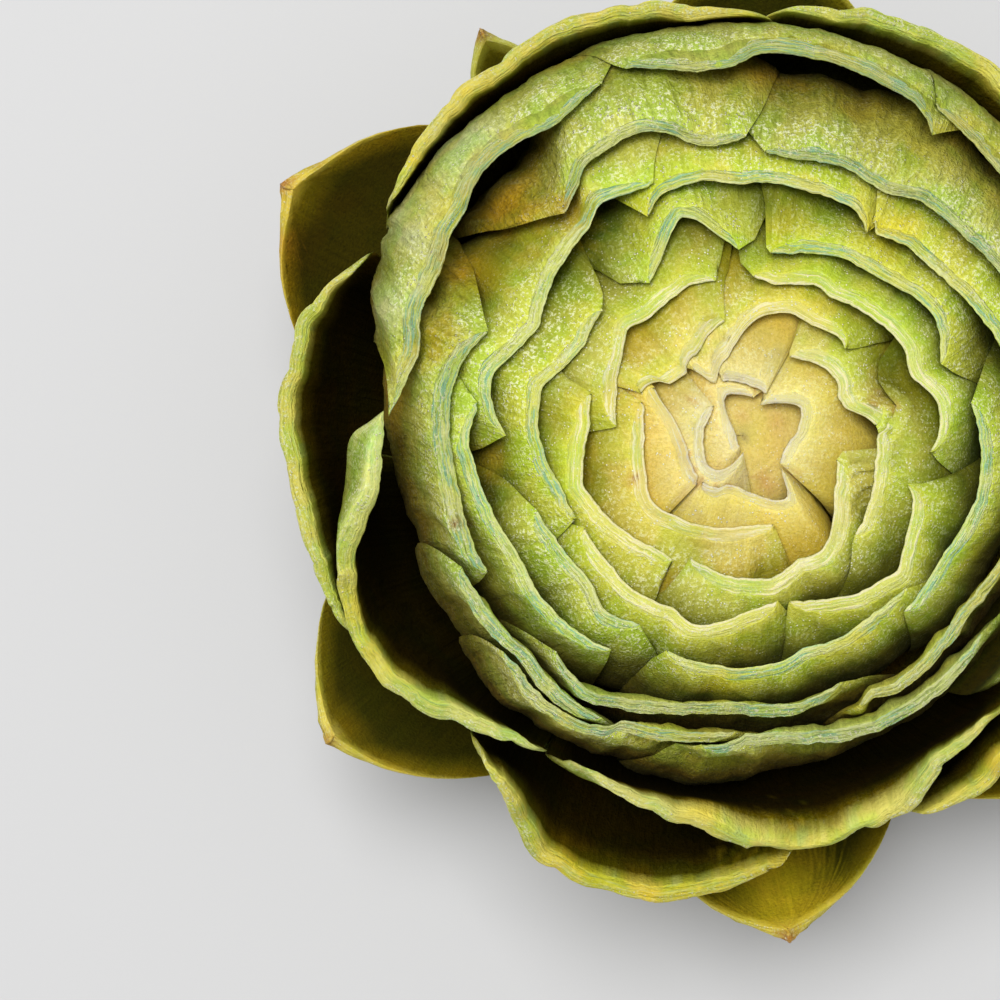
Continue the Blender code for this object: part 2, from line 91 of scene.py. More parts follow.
LEVELS = (0.0, 0.19, 0.41, 0.63, 0.81, 0.93, 1.0)
CUT_WAIST = (0.55, 0.85, 1.0, 1.0, 1.0, 1.0, 1.0)
CUT_OPENING = (0.3, 0.7, 1.0, 1.0, 0.9, 0.55, 0.0)
BROAD_OPENING = (0.5, 0.8, 1.0, 1.0, 0.99, 0.96, 0.88)
POINTED_OPENING = (0.55, 0.8, 1.0, 0.88, 0.56, 0.27, 0.02)
CUT_HOLD = (0.0, 0.0, 0.1, 0.35, 0.7, 0.92, 1.0)
WHOLE_HOLD = (0.0, 0.1, 0.4, 0.75, 0.92, 1.0, 1.0)
CUT_BLADE = (0.0, 1.5, 1.7, 1.7, 1.5, 1.25, 1.1)
WHOLE_BLADE = (0.0, 1.2, 1.4, 1.4, 1.5, 1.9, 2.1)

SUNK = -1.0                   # a blade lifted by less than this lies under the others' rims
PLAIN_LIP = 1.6               # a whole blade whose cut is more than this has a lip that rolls out
TIP_ROOM = 1.30               # how far a pointed blade's inner face stays short of its reach

# rim: direction and distance from the axis of the points of its inner edge; cut: width of the
# edge; spread: degrees by which the blade is wider below, before and after; lift: of the rim;
# taper: how much of its half width, at the last end of the rim, runs out to a point
Bract = namedtuple("Bract", "name kind rim cut spread lift taper", defaults=(0.0,))


def cut_bract(name, rim, cut, spread=(15, 15), lift=0.0, taper=0.0):
    """A blade whose upper part was sliced away with the crown."""
    return Bract(name, "cut", rim, cut, spread, lift, taper)


def broad_bract(name, rim, cut=PLAIN_LIP, spread=(8, 8), lift=0.0):
    """A whole blade with a broad, waved top that stands against the side of the head."""
    return Bract(name, "broad", rim, cut, spread, lift)


def pointed_bract(name, middle, reach, half_width=23.0, lift=0.0):
    """A whole blade at the bottom, cupped, with a pointed tip that leans outwards."""
    cup = 3.5
    reach = reach - TIP_ROOM
    rim = ((middle - half_width, reach - cup), (middle - 0.4 * half_width, reach - 0.6),
           (middle + 0.4 * half_width, reach - 0.6), (middle + half_width, reach - cup))
    return Bract(name, "pointed", rim, 1.4, (3, 3), lift)


BRACTS = (
    # the core: small blades folded into a star
    cut_bract("core_bract_1", ((-180, 0.001), (180, 0.001)), 4.7,
              (2, 2), -1.8),
    cut_bract("core_bract_2", ((76, 4.6), (88, 4.8), (102, 5.1), (113, 5.4), (119, 5.2), (124, 4.0),
                               (130, 2.6), (142, 1.5), (165, 0.9), (195, 0.8), (225, 1.0),
                               (250, 1.4)), 1.1, (30, 40), -0.3),
    cut_bract("core_bract_3", ((136, 5.0), (150, 4.7), (165, 4.7), (180, 4.8), (195, 5.0),
                               (210, 5.4), (222, 5.7), (232, 5.3), (244, 4.1), (255, 2.9),
                               (268, 2.0)), 1.2, (10, 25)),
    cut_bract("core_bract_4", ((228, 7.5), (241, 6.6), (256, 6.0), (268, 6.4), (280, 7.1),
                               (289, 7.9), (297, 8.7), (304, 9.4), (308, 8.4), (312, 7.0),
                               (318, 5.8)), 1.2, (0, 6)),
    cut_bract("core_bract_5", ((-38, 5.4), (-25, 5.0), (-12, 5.3), (6, 6.4), (18, 7.1), (27, 7.6),
                               (36, 6.5), (45, 5.4), (56, 4.4), (62, 4.0)), 1.25, (3, 10)),
    cut_bract("core_bract_6", ((62, 5.6), (75, 5.9), (90, 5.9), (105, 6.1), (112, 6.6)), 1.2,
              (2, 6)),
    cut_bract("core_bract_7", ((152, 12.2), (163, 9.3), (173, 7.9), (183, 7.2), (196, 6.9),
                               (209, 6.8), (218, 7.1), (226, 7.6)), 1.5, (6, 0)),
    # pale inner blades
    cut_bract("inner_bract_1", ((4, 15.7), (8, 14.9), (14, 12.6), (22, 11.9), (28, 12.8),
                                (37, 12.7), (48, 11.8), (60, 10.8)), 1.8, (34, 10)),
    cut_bract("inner_bract_2", ((41, 15.9), (46, 16.3), (61, 15.3), (69, 15.7), (80, 14.7),
                                (86, 13.5), (93, 11.7), (101, 9.6), (111, 7.5), (117, 7.0),
                                (122, 7.4), (128, 9.8)), 1.5, (12, 14)),
    cut_bract("inner_bract_3", ((162, 13.0), (165, 12.3), (182, 12.0), (199, 12.5), (211, 13.4),
                                (219, 13.6), (231, 12.6), (249, 11.75), (265, 11.0), (280, 10.8),
                                (288, 11.3)), 1.7, (14, 4)),
    cut_bract("inner_bract_4", ((-114, 16.1), (-105, 16.5), (-96, 17.0), (-88, 17.2), (-80, 17.4),
                                (-75, 17.1), (-67, 16.1), (-59, 16.6), (-54, 16.5), (-45, 14.8),
                                (-32, 12.6), (-15, 11.5)), 1.9, (12, 42)),
    cut_bract("inner_bract_5", ((100, 13.9), (111, 12.6), (120, 11.2), (128, 10.2), (136, 10.2),
                                (150, 11.0), (158, 12.2)), 1.5, (12, 8)),
    cut_bract("inner_bract_6", ((-42, 17.8), (-26, 16.8), (-15, 16.1), (-3, 15.8), (5, 16.0)), 1.6,
              (24, 44)),
    cut_bract("inner_bract_7", ((101, 18.9), (110, 19.1), (122, 18.3), (130, 18.0), (137, 19.0),
                                (147, 17.5), (161, 16.2), (172, 15.6), (176, 15.4)), 1.6, (14, 6)),
    cut_bract("inner_bract_8", ((165, 19.0), (178, 18.6), (187, 19.4), (197, 20.3), (206, 19.5),
                                (219, 18.4), (232, 17.2), (240, 17.2)), 1.9, (20, 6)),
    cut_bract("inner_bract_9", ((-5, 22.3), (1, 23.4), (9, 23.5), (14, 22.5), (20, 20.9),
                                (29, 21.8), (38, 21.1), (50, 20.1), (60, 19.3), (63, 20.0),
                                (78, 18.3), (87, 19.0)), 1.7, (10, 10)),
    cut_bract("inner_bract_10", ((210, 22.3), (217, 22.3), (224, 22.4), (234, 22.9), (242, 22.6),
                                 (248, 22.4), (253, 23.4), (256, 23.5), (261, 22.9), (270, 21.2),
                                 (281, 20.2)), 1.8, (10, 8)),
    cut_bract("inner_bract_11", ((-75, 20.6), (-61, 22.2), (-57, 23.1), (-47, 23.8), (-42, 24.6),
                                 (-38, 23.7), (-29, 22.4), (-21, 21.7), (-17, 20.4)), 1.8, (6, 12)),
    # the middle of the head
    cut_bract("middle_bract_1", ((92, 22.2), (98, 24.2), (102, 26.2), (106, 27.4), (111, 25.4),
                                 (115, 23.3), (122, 21.5)), 1.4, (20, 18)),
    cut_bract("middle_bract_2", ((139, 22.7), (152, 22.0), (159, 23.0), (167, 25.0), (178, 24.8),
                                 (187, 24.0), (196, 22.8), (206, 22.6)), 1.6, (14, 10)),
    cut_bract("middle_bract_3", ((200, 26.5), (208, 25.9), (215, 25.6), (224, 25.4), (231, 27.0),
                                 (236, 26.5), (241, 26.0)), 1.6, (14, 14)),
    cut_bract("middle_bract_4", ((-110, 27.5), (-107, 27.7), (-97, 27.8), (-91, 28.0), (-85, 27.7),
                                 (-78, 27.3), (-75, 26.3), (-67, 26.9), (-54, 26.3), (-44, 26.6)),
              1.5, (3, 12)),
    cut_bract("middle_bract_5", ((20, 25.0), (27, 26.2), (32, 26.9), (39, 26.2), (49, 24.7),
                                 (62, 24.2), (75, 22.5), (82, 22.0)), 1.6, (14, 10)),
    cut_bract("middle_bract_6", ((-48, 28.5), (-38, 28.0), (-33, 27.7), (-27, 28.0), (-14, 28.8),
                                 (-2, 28.3), (8, 27.4)), 1.6, (4, 12)),
    cut_bract("middle_bract_7", ((59, 28.4), (64, 30.2), (71, 30.2), (78, 30.2), (85, 30.5),
                                 (91, 30.0), (100, 31.0), (110, 30.5), (114, 28.6)), 1.5, (8, 10)),
    cut_bract("middle_bract_8", ((110, 31.8), (116, 32.2), (122, 32.8), (127, 31.0), (140, 29.7),
                                 (148, 28.5), (152, 27.8), (159, 28.9), (166, 31.0), (170, 31.1),
                                 (174, 30.3), (180, 28.7)), 1.7, (10, 8)),
    cut_bract("middle_bract_9", ((173, 32.0), (178, 32.9), (181, 33.2), (185, 32.7), (194, 31.9),
                                 (208, 30.6), (218, 31.2), (229, 31.0), (238, 30.4)), 1.6,
              (12, 4)),
    cut_bract("middle_bract_10", ((8, 32.6), (19, 32.5), (29, 31.3), (41, 30.0), (50, 29.8),
                                  (59, 28.4)), 1.6, (14, 8)),
    # the crown: the outer blades that the cut went through
    cut_bract("crown_bract_1", ((30, 36.5), (43, 35.4), (49, 35.3), (54, 35.0), (60, 33.4),
                                (70, 34.3), (80, 33.6), (86, 34.0)), 1.6, (14, 10)),
    cut_bract("crown_bract_2", ((90, 35.6), (93, 35.1), (97, 34.8), (100, 35.3), (104, 37.3),
                                (109, 38.6), (115, 38.1), (121, 37.6), (124, 35.8), (129, 34.2)),
              1.6, (8, 20)),
    cut_bract("crown_bract_3", ((158, 33.2), (162, 34.3), (167, 35.2), (173, 35.6), (180, 35.4),
                                (190, 34.9), (203, 35.1), (208, 35.0)), 2.2, (11, 6)),
    cut_bract("crown_bract_4", ((229, 34.5), (235, 35.6), (240, 35.9), (243, 35.1), (252, 33.6),
                                (260, 32.6), (267, 32.0), (282, 32.8), (291, 31.8)), 1.5, (10, 12)),
    cut_bract("crown_bract_5", ((-67, 35.2), (-64, 33.8), (-60, 34.7), (-55, 34.5), (-46, 33.8),
                                (-39, 33.2), (-26, 34.0)), 1.5, (8, 12)),
    cut_bract("crown_bract_6", ((-22, 36.6), (-8, 36.0), (8, 36.4), (22, 37.2), (34, 37.8)), 1.6,
              (10, 10)),
    cut_bract("crown_bract_7", ((205, 37.5), (214, 37.2), (221, 37.0), (226, 36.6), (230, 37.4),
                                (239, 38.0), (243, 38.0)), 1.7, (3, 10)),
    cut_bract("crown_bract_8", ((222, 39.0), (236, 38.2), (251, 36.8), (268, 35.6)), 1.5, (3, 10)),
    cut_bract("crown_bract_9", ((-98, 35.8), (-83, 35.8), (-66, 37.6), (-52, 37.4), (-40, 37.0)),
              1.6, (10, 10)),
    cut_bract("crown_bract_10", ((112, 45.8), (121, 43.5), (130, 44.8), (136, 44.6), (141, 43.0),
                                 (146, 42.7), (151, 41.4), (160, 41.6), (165, 40.1), (172, 41.3),
                                 (177, 42.8)), 2.2, (6, -9), taper=0.3),
    cut_bract("crown_bract_11", ((58, 42.5), (62, 45.0), (67, 45.4), (76, 46.4), (87, 46.5),
                                 (92, 44.2), (98, 44.0), (108, 46.8)), 2.4, (10, 8)),
    cut_bract("crown_bract_12", ((10, 42.4), (24, 43.2), (38, 43.0), (50, 44.4), (60, 46.0)), 2.0,
              (10, 4)),
    cut_bract("crown_bract_13", ((-42, 42.2), (-30, 42.0), (-14, 42.2), (2, 42.0)), 1.8, (8, 12)),
    # whole blades that stand open against the side of the head
    broad_bract("side_bract_1", ((172, 43.4), (178, 43.4), (184, 43.5), (190, 45.1), (197, 48.9),
                                 (202, 50.8), (208, 52.1), (214, 51.2), (220, 49.4), (226, 46.6),
                                 (233, 45.0), (241, 44.7)),
                1.6, (-12, 0)),
    broad_bract("side_bract_2", ((240, 44.2), (252, 44.6), (262, 45.4), (267, 46.8), (271, 48.6),
                                 (277, 50.5), (281, 51.4), (288, 49.3), (294, 47.4), (300, 44.8),
                                 (309, 44.4), (315, 45.4)), 4.6, (-1, 2)),
    broad_bract("side_bract_3", ((91, 51.0), (96, 51.5), (101, 53.0), (105, 54.0), (114, 54.6),
                                 (121, 53.4), (128, 53.4), (136, 52.4), (144, 51.8), (149, 51.4)),
                1.6, (8, 0)),
    broad_bract("side_bract_4", ((34, 49.4), (44, 52.4), (55, 55.0), (67, 54.8), (74, 53.8),
                                 (79, 52.2))),
    broad_bract("side_bract_5", ((-60, 47.0), (-50, 50.0), (-38, 52.4), (-26, 51.0), (-15, 48.0))),
    broad_bract("side_bract_6", ((-16, 50.0), (-4, 53.2), (8, 54.4), (20, 53.0), (32, 50.2))),
    broad_bract("side_bract_7", ((155, 50.4), (160, 53.4), (165, 54.9), (171, 54.7), (178, 55.4),
                                 (183, 54.3), (191, 53.3), (201, 53.6), (204, 52.4)), 1.6,
                (1, 6)),
    broad_bract("side_bract_8", ((229, 49.6), (236, 50.8), (241, 53.4), (245, 56.2), (250, 57.4),
                                 (256, 58.0), (262, 57.0), (267, 55.6), (274, 53.0)), 1.6,
                (0, 6)),
    # the lowest ring: whole pointed blades, spread outwards
    pointed_bract("lower_bract_1", 121.5, 61.4, 7.0),
    pointed_bract("lower_bract_2", 40, 64.0),
    pointed_bract("lower_bract_3", 318, 64.5),
    pointed_bract("lower_bract_4", 84, 65.0),
    pointed_bract("lower_bract_5", 150, 66.4, 26),
    pointed_bract("lower_bract_6", 217, 65.2),
    pointed_bract("lower_bract_7", 277, 65.4),
    pointed_bract("lower_bract_8", 359, 66.0),
)

# ---------------------------------------------------------------- the finer mesh of a blade
ROWS = 26                     # points between a blade's root and its rim
FINE = 1 - (1 - np.linspace(0, 1, ROWS)) ** 1.6
BINS = 720                    # directions at which the pile's height is kept
BIN = 360 / BINS
EDGE_MARGIN = 1.0             # degrees kept free beyond a blade's side edge
FEWEST, MOST = 30, 150        # points along a blade's rim

# the sizes a user may change, in millimetres and shares
Build = namedtuple("Build", "seam column lip edge_rounding swelling waves")


def gauss(radius):
    """A bell-shaped kernel that reaches as many samples either way."""
    reach = np.arange(-radius, radius + 1)
    weights = np.exp(-0.5 * (reach / max(radius / 2.2, 0.5)) ** 2)
    return weights / weights.sum()


def blurred(line, radius):
    """A line of samples, smoothed, with its ends kept."""
    if radius < 1 or radius >= len(line):
        return line
    padded = np.pad(line, radius, mode="reflect", reflect_type="odd")
    return np.convolve(padded, gauss(radius), mode="valid")


def eased(values):
    """A table over LEVELS, smoothed and read at the fine levels."""
    dense = np.linspace(0, 1, 201)
    return np.interp(FINE, dense, blurred(np.interp(dense, LEVELS, values), 12))


def wander(position, seed, pitch):
    """Smooth irregular wave between -1 and 1 along a line; pitch is its usual length."""
    total = np.zeros_like(np.asarray(position, float))
    for order in range(5):
        rate = math.tau / pitch * (0.55 + 0.37 * order)
        phase = math.sin(seed * 12.9898 + order * 78.233) * 43.7585
        total = total + np.sin(position * rate + phase) / (1 + 0.4 * order)
    return total / 2.4


def meridian_point(crown, level):
    """Radius and height of the point at this level on this meridian; arrays are welcome."""
    column = {name: np.interp(crown, MERIDIANS[:, 0], MERIDIANS[:, index])
              for index, name in enumerate(Meridian._fields)}
    lean = np.radians(column["lean"])
    r_0, z_0 = column["root_r"], column["root_z"]
    r_1, z_1 = r_0 + column["foot_r"], z_0 + column["foot_z"]
    r_3, z_3 = crown, column["top"]
    r_2 = r_3 + column["shoulder"] * np.sin(lean)
    z_2 = z_3 - column["shoulder"] * np.cos(lean)
    a, b = (1 - level) ** 3, 3 * level * (1 - level) ** 2
    c, d = 3 * level ** 2 * (1 - level), level ** 3
    return a * r_0 + b * r_1 + c * r_2 + d * r_3, a * z_0 + b * z_1 + c * z_2 + d * z_3


def spacing(crown, level):
    """Millimetres between two meridians whose crowns are one millimetre apart."""
    step = 0.5
    r_a, z_a = meridian_point(crown - step, level)
    r_b, z_b = meridian_point(crown + step, level)
    r_up, z_up = meridian_point(crown, level + 0.01)
    r_down, z_down = meridian_point(crown, level - 0.01)
    along = np.hypot(r_up - r_down, z_up - z_down)
    across = (r_b - r_a) * (z_up - z_down) - (z_b - z_a) * (r_up - r_down)
    return np.maximum(np.abs(across / along), 0.15)


def side_edges(bract):
    """First and last direction of a blade at each fine level."""
    middle = (bract.rim[0][0] + bract.rim[-1][0]) / 2
    half = (bract.rim[-1][0] - bract.rim[0][0]) / 2
    before, after = bract.spread
    if bract.kind == "cut":
        waist, opening = eased(CUT_WAIST), eased(CUT_OPENING)
        return middle - half * waist - before * opening, middle + half * waist + after * opening
    opening = eased(BROAD_OPENING if bract.kind == "broad" else POINTED_OPENING)
    undercut = eased(CUT_OPENING)
    before, after = (spread * (undercut if spread < 0 else opening) for spread in (before, after))
    return middle - half * opening - before, middle + half * opening + after


OUTLINE_STEP = 0.2            # degrees between the points of an outline
STEEPEST = ((4, 12), (1.6, 2.6))      # distance from the axis, most that a slant widens an edge
# height and length of a rim's waves and of the smaller ones on them
RIM_WAVES = {"cut": ((0.10, 2.6), (0.04, 0.9)), "broad": ((0.32, 8.0), (0.10, 2.4)),
             "pointed": ((0.30, 15.0), (0.04, 3.0))}


def outline(bract, seed, waves):
    """Direction, distance and steepness of a rim's inner edge, closely spaced."""
    directions, radii = np.array(bract.rim, float).T
    dense = np.arange(directions[0], directions[-1] + OUTLINE_STEP, OUTLINE_STEP)
    line = np.interp(dense, directions, radii)
    radius = line.mean()
    softness = np.clip(0.018 * radius + 0.12, 0.2, 1.0)
    line = blurred(line, int(2.2 * math.degrees(softness / radius) / OUTLINE_STEP))
    along = np.radians(dense) * radius
    (high, long), (low, short) = RIM_WAVES[bract.kind]
    ripple = high * wander(along, seed, long) + low * wander(along, seed + 7, short)
    line = line + waves * ripple * min(1.0, radius / 3)
    slope = np.gradient(line, np.radians(dense)) / np.maximum(line, 1.0)
    steepness = np.minimum(np.sqrt(1 + slope ** 2), np.interp(radius, *STEEPEST))
    return dense, line, blurred(steepness, 8)


def widest_nearby(grid, reach):
    """Largest of the neighbouring samples, wrapped in direction."""
    result = grid.copy()
    for shift in range(1, reach + 1):
        np.maximum(result, np.roll(grid, shift, axis=1), out=result)
        np.maximum(result, np.roll(grid, -shift, axis=1), out=result)
    taller = result.copy()
    taller[1:] = np.maximum(taller[1:], result[:-1])
    taller[:-1] = np.maximum(taller[:-1], result[1:])
    return taller


def spread_out(push, reach):
    """A row of pushes widened and smoothed, nowhere less than it was."""
    if reach < 1:
        return push
    padded = np.pad(push, reach, mode="edge")
    wide = np.max([padded[start:start + len(push)] for start in range(2 * reach + 1)], axis=0)
    padded = np.pad(wide, reach, mode="edge")
    return np.convolve(padded, gauss(reach), mode="valid")


BULGE = (0.0, 0.0, 0.3, 1.1, 2.2, 1.8, 0.0)   # how far a cut blade swells out below its rim
# distance from the axis, share of that bulge
SWELLING = ((3, 7, 14, 24, 31, 40, 46), (2.4, 2.9, 0.6, 0.5, 0.7, 0.7, 0.4))
# outside the middle the blades stand steeply in front and spread out behind: direction, share
LEANING = ((0, 40, 70, 110, 150, 165, 176, 215, 325, 360),
           (0.6, 1.6, 3.2, 3.2, 2.4, 1.6, 0.0, -1.2, -1.2, 0.6))
# two pockets stay open under the outermost cut blades: direction, share of the swelling lost
POCKETS = ((0, 60, 68, 84, 94, 120, 127, 142, 152, 360), (0, 0, 0.7, 0.7, 0, 0, 1.6, 1.6, 0, 0))
POCKET_REACH = ((26, 30, 38, 41), (0, 1, 1, 0))         # distance from the axis, share
LEANING_FROM, LEANING_OVER = 26, 8    # LEANING begins at this distance and is full after the next
UNEVEN_SEED, UNEVEN, UNEVEN_PITCH = 11, 0.35, 6.0       # how the swelling varies along a blade
TAPER_LEFT, TAPER_CURVE = 0.02, 0.8   # what is left at a tapered end, and how it gets there

OVERHANG = 3.5                # how far a broad blade's rim may lean in over what is below it

Blade = namedtuple("Blade", "bract seed directions inner outer")


def tapered(bract, across):
    """Share of a blade's thickness and swelling that is left where its end runs to a point."""
    if not bract.taper:
        return 1.0
    return np.clip((1 - across) / bract.taper, TAPER_LEFT, 1) ** TAPER_CURVE


def swollen(bract, wanted, directions, across, radius, seed):
    """Crowns of a cut blade's inner face once it swells out below its rim."""
    uneven = 1 + UNEVEN * wander(np.radians(directions) * radius, seed + UNEVEN_SEED, UNEVEN_PITCH)
    leaning = np.interp(directions % 360, *LEANING)
    leaning = 1 + (leaning - 1) * np.clip((radius - LEANING_FROM) / LEANING_OVER, 0, 1)
    pocket = np.interp(directions % 360, *POCKETS) * np.interp(radius, *POCKET_REACH)
    leaning = leaning * (1 - pocket) * (1 - 0.8 * np.abs(across) ** 4) * tapered(bract, across)
    return wanted + eased(BULGE)[:, None] * uneven * leaning * np.interp(radius, *SWELLING)


def rolled(bract, wanted, across):
    """Crowns of a whole blade's inner face once its lip rolls outwards over a hollow below."""
    depth = (bract.cut - PLAIN_LIP) * np.exp(-(across / 0.5) ** 2)[None, :]
    hollow = np.interp(FINE, (0, 0.4, 0.8, 0.94, 1.0), (0, 0.3, 1, 1, 0))[:, None]
    return wanted - depth * hollow


def clear_of_pile(wanted, envelope, directions, radius, seam, step):
    """How far each point is pushed out to lie on the blades below, smoothed along the blade."""
    bins = np.round(directions / BIN).astype(int) % BINS
    near = np.take_along_axis(widest_nearby(envelope, 2), bins, axis=1)
    push = np.maximum(near + seam / spacing(near, FINE[:, None]) - wanted, 0)
    # a push low on the blade spreads wide, one at the rim stays where it is: level, millimetres
    levels, reaches = (0.80, 0.93, 0.985, 1.0), (1.2 + 0.08 * radius, 0.8 + 0.03 * radius, 0.6, 0.4)
    for row in range(ROWS):
        push[row] = spread_out(push[row], round(np.interp(FINE[row], levels, reaches) / step))
    return push


def lay_on(bract, seed, envelope, build):
    """One blade's inner and outer crowns, clear of all that is already laid."""
    first, last = side_edges(bract)
    dense, line, steepness = outline(bract, seed, build.waves)
    radius = line.mean()
    widest = math.radians(last.max() - first.min()) * radius
    columns = int(np.clip(widest / build.column, FEWEST, MOST))
    even = np.linspace(-1, 1, columns)
    across = 0.72 * even + 0.28 * np.sin(math.pi / 2 * even)
    directions = first[:, None] + (last - first)[:, None] * (across + 1) / 2
    level = FINE[:, None]
    hold = eased(CUT_HOLD if bract.kind == "cut" else WHOLE_HOLD)[:, None]
    nominal = radius - SETTLING
    wanted = np.maximum(nominal + (np.interp(directions, dense, line) - nominal) * hold, 0)
    if bract.kind == "cut":
        bulging = swollen(bract, wanted, directions, across, radius, seed)
        wanted = wanted + build.swelling * (bulging - wanted)
    else:
        wanted = rolled(bract, wanted, across)
    step = math.radians(last.mean() - first.mean()) * radius / columns
    inner = wanted
    if bract.lift >= SUNK:      # the bud that all others close over has nothing inside it
        inner = inner + clear_of_pile(wanted, envelope, directions, radius, build.seam, step)
    if bract.kind == "broad":
        inner = np.maximum(inner, np.maximum.accumulate(inner, axis=0) - OVERHANG)
    steep = 1 + (np.interp(directions, dense, steepness) - 1) * hold
    width = 1 + 0.13 * wander(np.radians(directions) * radius, seed + 3, 7.0)
    if bract.kind == "cut":
        body = np.sqrt(1 - np.abs(across) ** 16) * (0.38 + 0.62 * np.clip(
            1.2 * (1 - across ** 4), 0, 1)) * tapered(bract, across)
        full = eased(CUT_BLADE)[:, None]
        at_rim = bract.cut * spacing(inner[-1:], 1.0)
        full = full + (at_rim - full) * np.clip((level - 0.80) / 0.20, 0, 1)
    else:
        body = np.sqrt(1 - np.abs(across) ** 40) * (1 - 0.8 * np.abs(across) ** 4)
        full = eased(WHOLE_BLADE)[:, None]
    outer = inner + full * body * width * steep / spacing(inner, level)
    outer[0] = inner[0]
    return Blade(bract, seed, directions, inner, outer)


def raise_envelope(envelope, blade):
    """Let the pile's height pass over the back of a blade that was just laid on."""
    for row in range(ROWS):
        directions = blade.directions[row]
        covered = np.arange(math.floor((directions[0] - EDGE_MARGIN) / BIN),
                            math.ceil((directions[-1] + EDGE_MARGIN) / BIN) + 1)
        if blade.bract.lift < SUNK and FINE[row] > 0.9:
            continue            # blades close over one that was cut off lower
        height = np.interp(covered * BIN, directions, blade.outer[row])
        np.maximum.at(envelope[row], covered % BINS, height)


@lru_cache(maxsize=1)
def laid_blades(build):
    """Every blade of the head, laid on from the inside out."""
    envelope = np.zeros((ROWS, BINS))
    blades = {}
    for seed, bract in enumerate(BRACTS):
        blade = lay_on(bract, seed, envelope, build)
        raise_envelope(envelope, blade)
        blades[bract.name] = blade
    return blades


# ---------------------------------------------------------------- from crowns to points
CUT_STEPS = 9                 # points across a cut edge
FLAT_EDGE = 0.16              # unevenness of a cut edge
# how far a cut edge falls to its outer corner, as part of its width, from the core outwards
OUTER_ROUNDING = ((8, 20, 30), (0.10, 0.25, 0.46))
LEAN = 3.0                    # how far the head's shoulders lean to one side below the cut
LEAN_REACH = ((20, 34, 48, 56), (0, 1, 1, 0))   # distance from the axis, share of that lean
CORNER_WIDTH = 0.35           # how wide the softened inner corner of a cut edge is
LUMP, LUMP_PITCH = 0.22, 3.4  # height and length of the lumps on a cut blade's outer face
MERGING = 2e-6                # points closer than this, in metres, become one


def surface_points(crowns, level, directions, lift):
    """World points, in millimetres, of one face of a blade."""
    radius, height = meridian_point(crowns, level)
    height = height + lift * np.clip((level - 0.8) / 0.2, 0, 1)
    angle = np.radians(directions)
    share = np.interp(crowns, *LEAN_REACH)
    lean = LEAN * share * np.sin(math.pi * level ** 2.5)
    return np.stack((radius * np.cos(angle), radius * np.sin(angle) + lean, height), axis=-1)


def outward(points):
    """Unit normals of a grid of points, pointing away from the axis."""
    down_rows = np.gradient(points, axis=0)
    along = np.gradient(points, axis=1)
    normal = np.cross(along, down_rows)
    length = np.linalg.norm(normal, axis=-1, keepdims=True)
    return normal / np.maximum(length, 1e-6)


def rumple(points, seed, pitch):
    """Gentle lumps over a surface, between about -1 and 1."""
    x, y, z = (points[..., index] for index in range(3))
    return wander(x + 0.7 * y + 0.4 * z, seed, pitch) * 0.6 \
        + wander(y - 0.6 * x + 0.5 * z, seed + 13, pitch * 0.8) * 0.6


def blade_fade():
    """Lumps fade out at a blade's root and just below its rim."""
    return (np.clip((FINE - 0.35) / 0.2, 0, 1) * np.clip((1 - FINE) / 0.04, 0, 1))[:, None]


SEED_STEP = 97.0              # keeps the pattern of one blade apart from the next


def cut_section(blade, build):
    """Inner face, cut edge and outer face of a sliced blade, and places across its thickness."""
    lift = blade.bract.lift
    inside = surface_points(blade.inner, FINE[:, None], blade.directions, lift)
    outside = surface_points(blade.outer, FINE[:, None], blade.directions, lift)
    share = (0.5 - 0.5 * np.cos(np.linspace(0, math.pi, CUT_STEPS + 2))[1:-1])[:, None]
    width = blade.outer[-1] - blade.inner[-1]
    over = surface_points(blade.inner[-1] + width * share, 1.0, blade.directions[-1], lift)
    shoulder = np.interp(blade.inner[-1], *OUTER_ROUNDING) * width
    corner = build.edge_rounding * (lift >= SUNK)
    over[..., 2] -= corner * (1 - np.clip(share * width / CORNER_WIDTH, 0, 1)) ** 2
    over[..., 2] -= shoulder * share ** 2.6 + FLAT_EDGE * np.abs(rumple(over, blade.seed, 2.6))
    inside[-1, :, 2] = np.minimum(inside[-1, :, 2] - corner * 1.1, over[0, :, 2])
    below = np.linalg.norm(outside - outside[-1:], axis=-1)
    outside[..., 2] -= shoulder * np.exp(-(below / 2.2) ** 1.5)
    lumps = LUMP * rumple(outside, blade.seed + 3, LUMP_PITCH) * blade_fade()
    return inside, over, outside + outward(outside) * lumps[..., None], share


def whole_section(blade):
    """Inner face, rounded lip and outer face of a whole blade, and places across its thickness."""
    inside = surface_points(blade.inner, FINE[:, None], blade.directions, blade.bract.lift)
    thickness = (blade.outer - blade.inner) * spacing(blade.inner, FINE[:, None])
    outside = inside + outward(inside) * thickness[..., None]
    angle = np.linspace(0, math.pi, CUT_STEPS + 2)[1:-1, None, None]
    middle = (inside[-1] + outside[-1]) / 2
    half = (outside[-1] - inside[-1]) / 2
    rise = inside[-1] - inside[-2]
    rise = rise / np.maximum(np.linalg.norm(rise, axis=-1, keepdims=True), 1e-6)
    reach = np.linalg.norm(half, axis=-1, keepdims=True)
    over = middle - half * np.cos(angle) + rise * reach * np.sin(angle)
    for face in (over, outside):
        face[..., 2] = np.minimum(face[..., 2], CUT_HEIGHT - 0.02)
    return inside, over, outside, (0.5 - 0.5 * np.cos(angle))[..., 0]


def three_faces(inner_rows, edge_row, outer_rows):
    """Values of a blade's inner face, edge and outer face, in the order of its profile."""
    return np.concatenate((inner_rows, np.tile(edge_row, (CUT_STEPS, 1)), outer_rows[::-1]))


